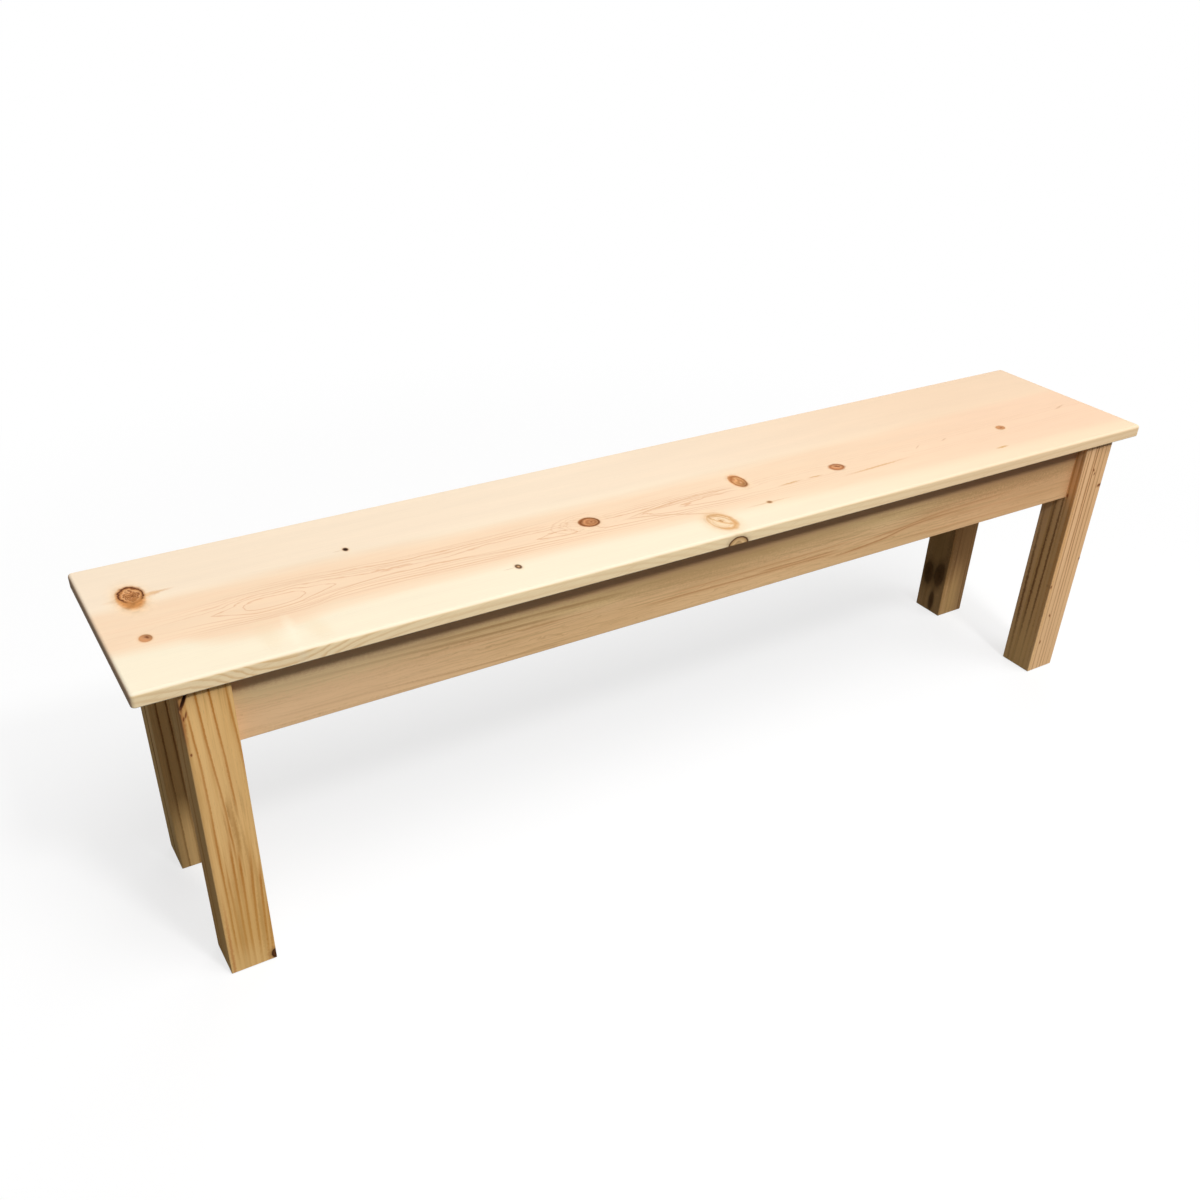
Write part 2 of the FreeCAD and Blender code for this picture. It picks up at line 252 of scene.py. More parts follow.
class KnotKind(Enum):
    """Look of a knot, as (half of the share of its radius, colour, cover) from its middle outwards."""

    TIGHT = (
        (0.0, (0.12, 0.04, 0.016), 1.0), (0.06, (0.26, 0.09, 0.032), 1.0),
        (0.13, (0.54, 0.25, 0.105), 1.0), (0.24, (0.4, 0.155, 0.058), 1.0),
        (0.33, (0.56, 0.26, 0.11), 1.0), (0.42, (0.2, 0.065, 0.02), 1.0),
        (0.48, (0.33, 0.125, 0.046), 1.0), (0.54, (0.8, 0.54, 0.33), 0.6),
        (0.7, (0.85, 0.63, 0.43), 0.25), (0.95, (0.86, 0.66, 0.46), 0.0),
    )
    LOOSE = (
        (0.0, (0.17, 0.05, 0.016), 1.0), (0.07, (0.56, 0.25, 0.085), 1.0),
        (0.14, (0.2, 0.062, 0.02), 1.0), (0.2, (0.6, 0.28, 0.105), 1.0),
        (0.28, (0.24, 0.076, 0.024), 1.0), (0.33, (0.68, 0.37, 0.165), 1.0),
        (0.4, (0.5, 0.215, 0.072), 1.0), (0.455, (0.13, 0.04, 0.015), 1.0),
        (0.485, (0.1, 0.03, 0.012), 1.0), (0.525, (0.48, 0.21, 0.075), 0.7),
        (0.6, (0.6, 0.3, 0.11), 0.0),
    )
    AMBER = (
        (0.0, (0.5, 0.205, 0.06), 1.0), (0.38, (0.56, 0.245, 0.078), 1.0),
        (0.46, (0.64, 0.32, 0.12), 0.9), (0.54, (0.78, 0.49, 0.25), 0.55),
        (0.72, (0.85, 0.63, 0.41), 0.25), (0.98, (0.86, 0.66, 0.46), 0.0),
    )
    RUSTY = (
        (0.0, (0.24, 0.08, 0.03), 1.0), (0.1, (0.42, 0.17, 0.075), 1.0),
        (0.24, (0.66, 0.33, 0.155), 1.0), (0.34, (0.52, 0.215, 0.088), 1.0),
        (0.44, (0.36, 0.13, 0.046), 1.0), (0.51, (0.56, 0.285, 0.14), 0.8),
        (0.62, (0.85, 0.62, 0.42), 0.4), (0.95, (0.86, 0.65, 0.45), 0.0),
    )
    GOLDEN = (
        (0.0, (0.8, 0.5, 0.27), 1.0), (0.08, (0.62, 0.3, 0.12), 1.0),
        (0.2, (0.52, 0.225, 0.078), 1.0), (0.33, (0.66, 0.34, 0.145), 1.0),
        (0.43, (0.36, 0.13, 0.04), 1.0), (0.5, (0.54, 0.25, 0.1), 0.95),
        (0.56, (0.78, 0.5, 0.28), 0.6), (0.7, (0.85, 0.63, 0.42), 0.25),
        (0.95, (0.86, 0.66, 0.46), 0.0),
    )
    PALE = (
        (0.0, (0.42, 0.19, 0.07), 0.9), (0.04, (0.76, 0.48, 0.24), 0.7),
        (0.24, (0.81, 0.56, 0.32), 0.6), (0.31, (0.72, 0.43, 0.195), 0.65),
        (0.36, (0.81, 0.56, 0.32), 0.6), (0.44, (0.64, 0.345, 0.14), 0.8),
        (0.49, (0.78, 0.51, 0.275), 0.6), (0.53, (0.72, 0.44, 0.215), 0.5),
        (0.6, (0.81, 0.57, 0.34), 0.35), (0.74, (0.85, 0.65, 0.43), 0.25),
        (0.98, (0.86, 0.7, 0.49), 0.0),
    )
    RIPPLE = (
        (0.26, (0.7, 0.43, 0.25), 0.0), (0.29, (0.68, 0.405, 0.23), 0.5),
        (0.31, (0.7, 0.43, 0.25), 0.0), (0.35, (0.7, 0.43, 0.25), 0.0),
        (0.38, (0.68, 0.405, 0.23), 0.45), (0.4, (0.7, 0.43, 0.25), 0.0),
        (0.445, (0.7, 0.43, 0.25), 0.0), (0.475, (0.68, 0.405, 0.23), 0.4),
        (0.495, (0.7, 0.43, 0.25), 0.0),
    )
    WISP = (
        (0.0, (0.62, 0.33, 0.13), 0.6), (0.12, (0.76, 0.48, 0.23), 0.0),
        (0.34, (0.7, 0.4, 0.17), 0.0), (0.44, (0.6, 0.31, 0.115), 0.75),
        (0.5, (0.64, 0.35, 0.14), 0.5), (0.58, (0.76, 0.48, 0.23), 0.0),
    )
    # A pale streak on the seat's top, laid as a knot: a painted highlight of sheen.
    SHEEN = (
        (0.0, (0.885, 0.815, 0.64), 0.65), (0.2, (0.885, 0.81, 0.63), 0.45),
        (0.5, (0.88, 0.79, 0.6), 0.0),
    )
    BLUSH = (
        (0.0, (0.15, 0.05, 0.022), 1.0), (0.1, (0.28, 0.105, 0.045), 1.0),
        (0.24, (0.52, 0.245, 0.11), 1.0), (0.4, (0.56, 0.265, 0.115), 1.0),
        (0.47, (0.5, 0.22, 0.088), 0.95), (0.56, (0.78, 0.5, 0.28), 0.55),
        (0.72, (0.85, 0.62, 0.41), 0.25), (0.98, (0.86, 0.66, 0.46), 0.0),
    )
    TAN_PIN = (
        (0.0, (0.26, 0.115, 0.045), 1.0), (0.28, (0.34, 0.16, 0.066), 1.0),
        (0.46, (0.52, 0.29, 0.13), 0.8), (0.64, (0.74, 0.5, 0.28), 0.4),
        (0.98, (0.86, 0.69, 0.48), 0.0),
    )
    PIN = (
        (0.0, (0.02, 0.008, 0.004), 1.0), (0.3, (0.035, 0.013, 0.006), 1.0),
        (0.46, (0.24, 0.11, 0.045), 0.9), (0.58, (0.7, 0.47, 0.27), 0.5),
        (0.98, (0.86, 0.69, 0.48), 0.0),
    )
    RING_PIN = (
        (0.0, (0.64, 0.42, 0.24), 1.0), (0.12, (0.42, 0.23, 0.11), 1.0),
        (0.34, (0.09, 0.04, 0.018), 1.0), (0.46, (0.16, 0.08, 0.036), 0.9),
        (0.6, (0.76, 0.54, 0.33), 0.45), (0.98, (0.86, 0.7, 0.49), 0.0),
    )
    RIMMED = (
        (0.0, (0.68, 0.43, 0.19), 0.9), (0.16, (0.48, 0.285, 0.115), 0.9),
        (0.26, (0.74, 0.48, 0.225), 0.9), (0.4, (0.5, 0.285, 0.11), 0.9),
        (0.46, (0.13, 0.055, 0.022), 1.0), (0.49, (0.1, 0.042, 0.018), 1.0),
        (0.535, (0.56, 0.4, 0.22), 0.5), (0.8, (0.8, 0.62, 0.38), 0.0),
    )
    SOUND = (
        (0.0, (0.06, 0.022, 0.008), 1.0), (0.26, (0.13, 0.05, 0.016), 1.0),
        (0.44, (0.05, 0.018, 0.008), 1.0), (0.56, (0.3, 0.13, 0.04), 0.6),
        (0.95, (0.56, 0.31, 0.125), 0.0),
    )
    SMUDGE = (
        (0.0, (0.09, 0.04, 0.013), 0.95), (0.3, (0.11, 0.05, 0.016), 0.9),
        (0.48, (0.08, 0.035, 0.012), 0.8), (0.64, (0.16, 0.08, 0.028), 0.45),
        (0.98, (0.3, 0.16, 0.055), 0.0),
    )
    BARK = (
        (0.0, (0.03, 0.012, 0.006), 1.0), (0.34, (0.06, 0.022, 0.01), 1.0),
        (0.46, (0.2, 0.075, 0.028), 0.9), (0.62, (0.48, 0.22, 0.08), 0.5),
        (0.98, (0.64, 0.34, 0.13), 0.0),
    )
    FLECK = (
        (0.0, (0.2, 0.06, 0.02), 0.95), (0.36, (0.26, 0.085, 0.028), 0.9),
        (0.56, (0.48, 0.21, 0.075), 0.4), (0.95, (0.64, 0.33, 0.13), 0.0),
    )

    @property
    def stops(self) -> tuple:
        """The look as stops of a colour ramp."""
        return tuple((place, opaque(colour, cover)) for place, colour, cover in self.value)


@dataclass(frozen=True)
class Knot:
    """A branch cut across: its middle and size on its face and how it sits in the grain.

    Rings bend round it by pull, and more on the side of crowd. Its pith leans to one side, its outline is
    ragged by rag, its shade uneven by mottle, and its rim fades out towards its open side. It shows only
    within its reach into the wood, if it has one.
    """

    along: float
    across: float
    length: float
    width: float
    kind: KnotKind = KnotKind.TIGHT
    turn: float = 0.0
    pull: float = 0.0
    lean: tuple[float, float] = (0.0, 0.0)
    face: Face = Face.FLAT
    reach: Reach | None = None
    rag: float = 0.30
    crowd: float = 0.0
    open_side: tuple[float, float] | None = None
    mottle: float = 0.0


@dataclass(frozen=True)
class KnotField:
    """A knot laid out on its face: distance from its pith (1 at its rim), shade and cover."""

    radius: Wire
    shade: Value = 1.0
    cover: Value = 1.0


@dataclass(frozen=True)
class Mark:
    """A blotch of colour: its middle, its size, its slope against the fibres and how strongly it shows."""

    along: float
    across: float
    length: float
    width: float
    colour: Colour
    cover: float
    slope: float = 0.0
    face: Face = Face.FLAT
    reach: Reach | None = None


@dataclass(frozen=True)
class Line:
    """A strong year line: its course, width, cover, slant into the wood and the share left deep inside."""

    course: Stations
    width: float
    cover: float
    slant: float = -0.35
    deep: float = 1.0
    colour: Colour | None = None


@dataclass(frozen=True)
class Heart:
    """Heart line of the tree beside a board: its place across the board and its depth under the face."""

    across: Stations
    depth: Stations


@dataclass(frozen=True)
class Stock:
    """A batch of pine: its colours, the make of its year rings and its surface."""

    early: Colour
    late: Colour
    ring: float
    line: float
    uneven: float = 0.6
    vary: float = 0.65
    sway: float = 6.0
    fibre: float = 0.10
    cloud: float = 0.16
    streak: float = 0.0
    streak_colour: Colour = (0.46, 0.33, 0.16)
    streak_size: float = 6.2
    fleck: float = 0.18
    thin: float = 0.0
    # Change on the long arrises: a positive value darkens them as wear; the seat's negative value paints them
    # paler, a painted highlight on its eased edges.
    arris_wear_and_highlight: float = 0.07
    rough: float = 0.85
    shine: float = 0.06


@dataclass(frozen=True)
class Layout:
    """How a board lies in the frame: its node, the axes along, across and into it, and their origins."""

    node: str
    axes: str
    origins: tuple[Origin, Origin, Origin]

    def spans(self) -> list[tuple[float, float, bool]]:
        """Start, size and direction of each axis.

        Returns:
            For each axis where it starts and how far the board runs in millimetres, and whether it counts
            back.
        """
        low, high = (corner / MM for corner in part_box(self.node))
        numbers = ["XYZ".index(axis) for axis in self.axes]
        return [
            (low[number] + origin.value * (high[number] - low[number]), high[number] - low[number],
             origin is Origin.HIGH)
            for number, origin in zip(numbers, self.origins)
        ]


class Timber:
    """Material of one board: year rings round a heart line, bent by knots, with lines and marks on top."""

    FADE = 5.0
    BUMP = 0.35
    BUMP_HEIGHT = 0.2 * MM
    # scale, detail and roughness of each noise, after its squeeze along the fibres if it is drawn out
    RAGGED = (0.28, 2.0, 0.6)
    MOTTLE = (0.11, 3.0, 0.6)
    FIBRES = (0.016, 0.9, 3.0, 0.62)
    CLOUDS = (0.10, 0.045, 2.0, 0.5)
    DAPPLE = (0.12, 0.14, 2.0, 0.55)
    SWAY = (0.26, 0.07, 3.0, 0.6)
    DASHES = (0.07, 1.1, 1.0, 0.5)
    # where each of these begins and is complete
    END_GRAIN = (0.55, 0.9)
    ARRIS = (0.6, 3.4)
    CROWDED = (-1.2, 1.2)
    OPENED = (0.30, 0.90)
    PAST_RIM = (0.9, 1.15)
    PAST_MARK = (0.15, 1.08)
    DEEP = (3.0, 9.0)
    STREAKED = (0.0, 0.16)
    DASHED = (0.16, 0.26)
    LATE_PROFILE = ((0.0, 0.0), (0.55, 0.03), (0.78, 0.40), (0.91, 1.0), (1.0, 0.0))

    def __init__(self, name: str, stock: Stock, layout: Layout, seed: float) -> None:
        """Start a material and lay its axes on the board."""
        self.material = bpy.data.materials.new(name)
        self.material.use_nodes = True
        self.graph = graph = Graph(self.material.node_tree)
        self.stock = stock
        coordinates = graph.wire("ShaderNodeTexCoord", output="Object")
        places = dict(zip("XYZ", graph.split(graph.dim(coordinates, 1 / MM))))
        spans = layout.spans()
        self.along, self.across, self.depth = (
            (start - places[axis]) if back else (places[axis] - start)
            for axis, (start, _, back) in zip(layout.axes, spans)
        )
        self.place = graph.join(self.along + seed, self.across + seed, self.depth + seed)
        normals = dict(zip("XYZ", graph.split(graph.wire("ShaderNodeNewGeometry", output="Normal"))))
        self.end_grain = graph.smooth(abs(normals[layout.axes[0]]), *self.END_GRAIN)
        self.outward = normals[layout.axes[2]] * (1.0 if spans[2][2] else -1.0)
        self.ragged = graph.noise(self.place, *self.RAGGED)
        self.mottle = graph.noise(self.place, *self.MOTTLE)
        self.fibres = self._drawn(*self.FIBRES)
        self.clouds = self._drawn(*self.CLOUDS)
        self.dapple = self._drawn(*self.DAPPLE)
        self.arris = self._arris(layout, spans)
        self.bend: Value = 0.0

    def _drawn(self, squeeze: float, scale: float, detail: float, rough: float) -> Wire:
        """Noise drawn out along the fibres, where its place is squeezed."""
        sockets = {0: self.place, 1: (squeeze, 1.0, 1.0)}
        place = self.graph.wire("ShaderNodeVectorMath", {"operation": "MULTIPLY"}, sockets)
        return self.graph.noise(place, scale, detail, rough)

    def _arris(self, layout: Layout, spans: list) -> Wire:
        """1 on the long edges of the board, 0 on its faces."""
        graph = self.graph
        insets = []
        for place, (_, size, _), origin in zip((self.across, self.depth), spans[1:], layout.origins[1:]):
            middle = 0.0 if origin is Origin.MIDDLE else size / 2
            insets.append(size / 2 - abs(place - middle))
        inset = graph.math("MAXIMUM", *insets) + self.dapple * 3.0
        return 1 - graph.smooth(inset, *self.ARRIS)

    def _axes_of(self, face: Face) -> tuple[Wire, Wire]:
        """Axis across a face and axis into it."""
        return (self.across, self.depth) if face is Face.FLAT else (self.depth, self.across)

    def _outside(self, place: Wire, reach: Reach) -> Wire:
        """0 within a stretch, rising to 1 past either end of it."""
        low, high = reach
        middle, half = (low + high) / 2, (high - low) / 2
        return self.graph.smooth(abs(place - middle), half, half + self.FADE)

    def knot_field(self, knot: Knot) -> KnotField:
        """Lay out a knot and bend the year rings round it.

        Args:
            knot: The knot to lay out.

        Returns:
            Its field, darker on the side that it leans to.
        """
        graph = self.graph
        across, into = self._axes_of(knot.face)
        u, v = self.along - knot.along, across - knot.across
        if knot.turn:
            cosine, sine = math.cos(math.radians(knot.turn)), math.sin(math.radians(knot.turn))
            u, v = u * cosine + v * sine, v * cosine - u * sine
        u, v = u / (knot.length / 2), v / (knot.width / 2)
        radius = graph.root(u * u + v * v)
        if knot.pull:
            bend = graph.math("EXPONENT", radius * radius * -0.45) * knot.pull
            if knot.crowd:
                bend = bend * graph.smooth(u * knot.crowd, *self.CROWDED)
            self.bend = self.bend + bend
        shade: Value = 1.0
        cover: Value = 1.0
        if knot.open_side:
            right, back = knot.open_side
            cover = 1 - graph.smooth(u * right + v * back + self.ragged * 0.9, *self.OPENED) * 0.85
        if any(knot.lean):
            towards, aside = knot.lean
            inside = graph.math("MAXIMUM", 1 - radius, 0.0)
            tilt = (u * towards + v * aside) * (1 - graph.smooth(radius, *self.PAST_RIM)) * 0.7
            shade = 1 - graph.math("MAXIMUM", tilt, -0.08)
            u, v = u - inside * towards, v - inside * aside
            radius = graph.root(u * u + v * v)
        calm = graph.math("MAXIMUM", 1.7 - radius * 1.5, 0.25)
        radius = radius + (self.ragged * 0.5 + self.mottle * 1.5) * calm * knot.rag
        shade = shade * (1 + self.mottle * knot.mottle) if knot.mottle else shade
        if knot.reach:
            radius = radius + self._outside(into, knot.reach) * 3
        return KnotField(radius, shade, cover)

    def mark_cover(self, mark: Mark) -> Wire:
        """How strongly a mark covers each point."""
        graph = self.graph
        across, into = self._axes_of(mark.face)
        step = self.along - mark.along
        offset = across - mark.across - step * mark.slope + self.ragged * (mark.width * 0.6)
        offset, step = offset / (mark.width / 2), step / (mark.length / 2)
        away = graph.root(offset * offset + step * step)
        cover = (1 - graph.smooth(away, *self.PAST_MARK)) * mark.cover
        return cover * (1 - self._outside(into, mark.reach)) if mark.reach else cover

    def line_cover(self, line: Line) -> Wire:
        """How strongly a year line covers each point: soft on the side of spring, sharp on that of autumn."""
        graph = self.graph
        first, last = line.course[0][0], line.course[-1][0]
        fade = (last - first) * 0.2
        offset = self.across - graph.curve(self.along, line.course) - self.depth * line.slant
        offset = offset + self.ragged * 1.2 + self.dapple * 1.6
        skirt = graph.smooth(offset, -line.width * 3.0, 0.0) * 0.4
        core = graph.smooth(offset, -line.width * 1.2, -line.width * 0.3) * 0.6
        body = (skirt + core) * (1 - graph.smooth(offset, line.width * 0.2, line.width))
        begun = graph.smooth(self.along, first, first + fade)
        ended = graph.smooth(self.along, last - fade, last)
        cover = body * begun * (1 - ended) * (line.cover + self.dapple * 0.6)
        if line.deep < 1:
            cover = cover * (1 - graph.smooth(self.depth, *self.DEEP) * (1 - line.deep))
        return cover

    def rings(self, heart: Heart) -> Wire:
        """Dark summer wood of the year rings.

        Args:
            heart: Heart line that the rings go round.

        Returns:
            0 in spring wood, up to 1 in the line that closes a year.
        """
        graph, stock = self.graph, self.stock
        sway = self._drawn(*self.SWAY) * (2 * stock.sway)
        offset = self.across - graph.curve(self.along, heart.across) + sway
        below = graph.curve(self.along, heart.depth) - self.depth + sway * 0.4
        radius = graph.root(offset * offset + below * below) + self.bend
        years = radius / stock.ring
        if stock.uneven:
            sockets = {"W": years * 0.6, "Scale": 1.0}
            pace = graph.wire("ShaderNodeTexNoise", {"noise_dimensions": "1D"}, sockets)
            years = years + (pace - 0.5) * (2 * stock.uneven)
        share = graph.math("FRACT", years)
        if stock.thin:
            slope = offset / radius
            gap = (share - 0.8) * stock.ring / graph.root(slope * slope + 0.02)
            profile = graph.smooth(gap, -2.8 * stock.thin, 0.0) * (1 - graph.smooth(gap, 0.0, stock.thin))
        else:
            profile = graph.curve(share, self.LATE_PROFILE)
        year = graph.math("FLOOR", years)
        weight = graph.wire("ShaderNodeTexWhiteNoise", {"noise_dimensions": "1D"}, {"W": year})
        return profile * (1 - stock.vary + weight * stock.vary)

    def colours(self, base: Wire, late: Wire, lines: Value) -> Wire:
        """Lay year rings, streaks, resin flecks, fibres and clouds over the ground colour.

        Args:
            base: Colour of the spring wood.
            late: Summer wood of the rings.
            lines: How strongly the rings show.

        Returns:
            The colour of the grain.
        """
        graph, stock = self.graph, self.stock
        colour = graph.mix(late * lines * (1 + self.dapple * 0.8), base, stock.late)
        if stock.streak:
            streaks = graph.smooth(self._drawn(0.028, 1 / stock.streak_size, 3.0, 0.6), *self.STREAKED)
            colour = graph.mix(streaks * stock.streak, colour, stock.streak_colour)
        dashes = self._drawn(*self.DASHES)
        shade = 1 + self.fibres * (2 * stock.fibre) + self.clouds * (2 * stock.cloud)
        # Arrises darken by wear, except on the seat, whose negative value paints them paler as a painted
        # highlight.
        shade = shade - graph.smooth(dashes, *self.DASHED) * stock.fleck - self.arris * stock.arris_wear_and_highlight
        return graph.dim(colour, shade * (1 - self.end_grain * 0.15))

    def lay_line(self, colour: Wire, line: Line) -> Wire:
        """Lay one year line over a colour."""
        return self.graph.mix(self.line_cover(line), colour, line.colour or self.stock.late)

    def lay_mark(self, colour: Wire, mark: Mark) -> Wire:
        """Lay one mark over a colour."""
        return self.graph.mix(self.mark_cover(mark), colour, mark.colour)

    def lay_knot(self, colour: Wire, knot: Knot, laid: KnotField) -> Wire:
        """Lay one knot over a colour."""
        graph = self.graph
        look = graph.node("ShaderNodeValToRGB", {"stops": knot.kind.stops}, {0: laid.radius / 2})
        tint = graph.dim(Wire(graph, look.outputs[0]), laid.shade)
        return graph.mix(Wire(graph, look.outputs[1]) * laid.cover, colour, tint)

    def finish(self, colour: Wire, late: Wire) -> bpy.types.Material:
        """Close the material with roughness and raised grain.

        Args:
            colour: Colour of the surface.
            late: Summer wood, which planes smoother and stands a little proud.

        Returns:
            The finished material.
        """
        graph = self.graph
        rough = self.stock.rough - late * 0.08 - self.arris * 0.12 + self.fibres * 0.16
        height = self.fibres * 0.8 + late * 0.5 + self.ragged * 0.25
        raised = {"Strength": self.BUMP, "Distance": self.BUMP_HEIGHT, "Height": height}
        sockets = {
            "Base Color": colour,
            "Roughness": rough,
            "Normal": graph.wire("ShaderNodeBump", None, raised),
            "Specular IOR Level": self.stock.shine,
        }
        shader = graph.wire("ShaderNodeBsdfPrincipled", None, sockets)
        graph.node("ShaderNodeOutputMaterial", None, {"Surface": shader})
        return self.material


@dataclass(frozen=True)
class BoardFinish:
    """Finish of a plain board: stock, heart line, a second tint over part of its width, and what marks it."""

    CLOUDED: ClassVar[Colour] = (0.95, 0.92, 0.86)

    stock: Stock
    heart: Heart
    knots: tuple[Knot, ...] = ()
    lines: tuple[Line, ...] = ()
    marks: tuple[Mark, ...] = ()
    seed: float = 0.0
    tint: Colour | None = None
    tint_from: float = 0.0
    tint_to: float = 1.0

    def make(self, name: str, layout: Layout) -> bpy.types.Material:
        """Make the material of one board.

        Args:
            name: Name of the material.
            layout: How the board lies in the frame.

        Returns:
            The finished material.
        """
        timber = Timber(name, self.stock, layout, self.seed)
        fields = [timber.knot_field(knot) for knot in self.knots]
        late = timber.rings(self.heart)
        colour = self._grain(timber, late)
        for line in self.lines:
            colour = timber.lay_line(colour, line)
        for mark in self.marks:
            colour = timber.lay_mark(colour, mark)
        for knot, laid in zip(self.knots, fields):
            colour = timber.lay_knot(colour, knot, laid)
        return timber.finish(colour, late)

    def _grain(self, timber: Timber, late: Wire) -> Wire:
        """Lay the year rings over a clouded ground, which may turn into the second tint."""
        graph = timber.graph
        shaded = tuple(level * share for level, share in zip(self.stock.early, self.CLOUDED))
        ground = graph.mix(graph.smooth(timber.clouds, -0.25, 0.25), shaded, self.stock.early)
        if self.tint:
            share = graph.smooth(timber.across + timber.clouds * 40, self.tint_from, self.tint_to)
            ground = graph.mix(share, ground, self.tint)
        return timber.colours(ground, late, self.stock.line)


@dataclass(frozen=True)
class SeatFinish(BoardFinish):
    """Finish of the seat: a flat-sawn plank with a peach heart band between two pale bands of sapwood."""

    # The seat's negative arris value paints its eased edges paler: a painted highlight.
    stock: Stock = Stock(
        (0.865, 0.765, 0.583), (0.66, 0.345, 0.180), 3.0, 0.78, 0.0, 0.45, 3.6, 0.045, 0.04,
        fleck=0.04, thin=0.75, arris_wear_and_highlight=-0.05,
    )
    right_sap: Colour = (0.864, 0.690, 0.482)
    back_sap: Colour = (0.856, 0.708, 0.540)
    back_right_sap: Colour = (0.838, 0.632, 0.448)
    heartwood: Colour = (0.850, 0.642, 0.448)
    salmon: Colour = (0.862, 0.612, 0.430)
    # Colours of the long edges, brighter and yellower than the top: partly the wood's edge colour, partly
    # painted light.
    edge_tone_and_light: Colour = (0.965, 0.770, 0.480)
    edge_right_tone_and_light: Colour = (0.965, 0.720, 0.445)
    end_face: Colour = (0.80, 0.560, 0.370)
    edge_line: Colour = (0.76, 0.490, 0.225)
    blush: Colour = (0.840, 0.595, 0.405)
    back_edge: Stations = ((-762, 34), (-560, 32), (-300, 22), (0, 19), (300, 24), (762, 36))
    front_edge: Stations = (
        (-762, -60), (-690, -68), (-600, -92), (-500, -76), (0, -88), (300, -104), (762, -111),
    )
    heart: Heart = Heart(
        across=(
            (-762, -36), (-575, -32), (-497, -28), (-400, -33), (-281, -36), (-89, -44), (-35, -45),
            (100, -48), (762, -42),
        ),
        depth=(
            (-762, 34.6), (-690, 34.0), (-640, 32.6), (-611, 29.6), (-575, 27.0), (-539, 29.6), (-497, 32.6),
            (-400, 34.9), (-281, 32.7), (-180, 31.0), (-89, 29.4), (-35, 26.4), (20, 24.8), (100, 24.2),
            (762, 24.2),
        ),
    )
    edge_step: float = 7.6
    edge_swing: Stations = (
        (-762, 40), (-700, 33), (-650, 13), (-600, 0), (-550, 12), (-500, 26), (-400, 34), (-250, 30),
        (-100, 10), (0, -12), (150, -27), (400, -34), (762, -30),
    )
    edge_share: Stations = ((-762, 0.25), (-680, 0.6), (-600, 0.70), (-500, 0.5), (-300, 0.3), (762, 0.3))
    figured: Stations = (
        (-762, 0.12), (-690, 0.22), (-635, 0.9), (-200, 1.0), (-20, 1.0), (60, 0.55), (160, 0.25),
        (762, 0.18),
    )
    knots: tuple[Knot, ...] = (
        Knot(-713.0, 48.5, 31, 54, KnotKind.AMBER, 0, 1.5, rag=0.25, mottle=0.9),
        Knot(
            -711.4, 56.0, 28, 41, KnotKind.LOOSE, 0, 0, (0.10, -0.15), rag=0.8, open_side=(0.0, -1.0),
            mottle=0.7,
        ),
        Knot(-720.1, -43.7, 14, 16, KnotKind.BLUSH, 0, 1.5, (0.45, 0.35), rag=0.2),
        Knot(-460.5, 46.7, 7, 9, KnotKind.PIN, 0, 1.0),
        Knot(-298.2, -90.6, 8, 11, KnotKind.RING_PIN, 0, 1.0),
        Knot(-163.2, -28.7, 112, 54, KnotKind.RIPPLE, 0, 0, rag=0.45, open_side=(2.4, 0.0)),
        Knot(-163.2, -28.7, 29, 26, KnotKind.TIGHT, 0, 9, (0.35, -0.1), crowd=-1.0, mottle=0.6),
        Knot(-12.8, -107.1, 36, 50, KnotKind.PALE, 0, 4, (0.05, 0.05), rag=0.45, mottle=0.4),
        Knot(-9.0, -104.0, 15, 40, KnotKind.WISP, 30, 0, (0.2, 0.3), rag=0.6),
        Knot(-11.0, -109.0, 34, 46, KnotKind.WISP, 0, 0, (-0.1, 0.1), rag=0.5, open_side=(-0.9, 0.4)),
        Knot(81.2, -16.7, 22, 38, KnotKind.GOLDEN, -8, 3, (0.32, -0.42), rag=0.45, mottle=0.9),
        Knot(78.5, -90.2, 8, 7, KnotKind.TAN_PIN, 0, 1),
        Knot(234.2, -44.0, 24, 20, KnotKind.RUSTY, 0, 3, (0.25, 0.2), rag=0.4, mottle=0.8),
        Knot(556.9, -47.5, 16, 13.5, KnotKind.BLUSH, 15, 2, (0.1, -0.2), rag=0.4, mottle=0.8),
        Knot(-10.5, 17.5, 31, 23, KnotKind.RIMMED, face=Face.EDGE, reach=(-150, -134), mottle=0.8),
        # Painted highlight: a pale streak of sheen on the top near the left end.
        Knot(-581, -108, 20, 96, KnotKind.SHEEN, -5, rag=0.7),
    )
    marks: tuple[Mark, ...] = (
        Mark(-692, 49, 34, 13, (0.66, 0.37, 0.16), 0.75, 0.10),
        Mark(-682, 50.5, 42, 7, (0.68, 0.41, 0.21), 0.60, 0.10),
        Mark(-734, 50, 26, 7, (0.78, 0.54, 0.33), 0.35),
        Mark(-470, 46.5, 18, 3, (0.62, 0.42, 0.25), 0.4),
        Mark(-310, -91, 22, 3, (0.60, 0.40, 0.24), 0.4),
        Mark(-136, -26, 34, 12, (0.78, 0.56, 0.36), 0.45),
        Mark(-14, -104, 22, 2.2, (0.50, 0.24, 0.09), 0.55, 0.25),
        Mark(78, -90.5, 96, 5.0, (0.68, 0.44, 0.24), 0.55),
        Mark(142, -55.6, 50, 5.5, (0.64, 0.36, 0.16), 0.85, 0.05),
        Mark(186, -54.8, 32, 5.0, (0.64, 0.36, 0.16), 0.85),
        Mark(288, -69.5, 150, 5.5, (0.68, 0.40, 0.19), 0.85, 0.05),
        Mark(389, -43.6, 20, 4.0, (0.58, 0.32, 0.16), 0.40, 0.6),
        Mark(445, -41, 20, 4.0, (0.60, 0.34, 0.18), 0.50, 0.35),
        Mark(709, -29, 36, 5, (0.58, 0.32, 0.17), 0.55, 0.3),
        Mark(502, -103, 32, 6.5, (0.66, 0.39, 0.16), 0.95, 0.05),
        Mark(-606, -98, 34, 84, (0.80, 0.63, 0.42), 0.32, 0.1),
        Mark(-554, -110, 34, 74, (0.81, 0.64, 0.43), 0.34, -0.1),
    )
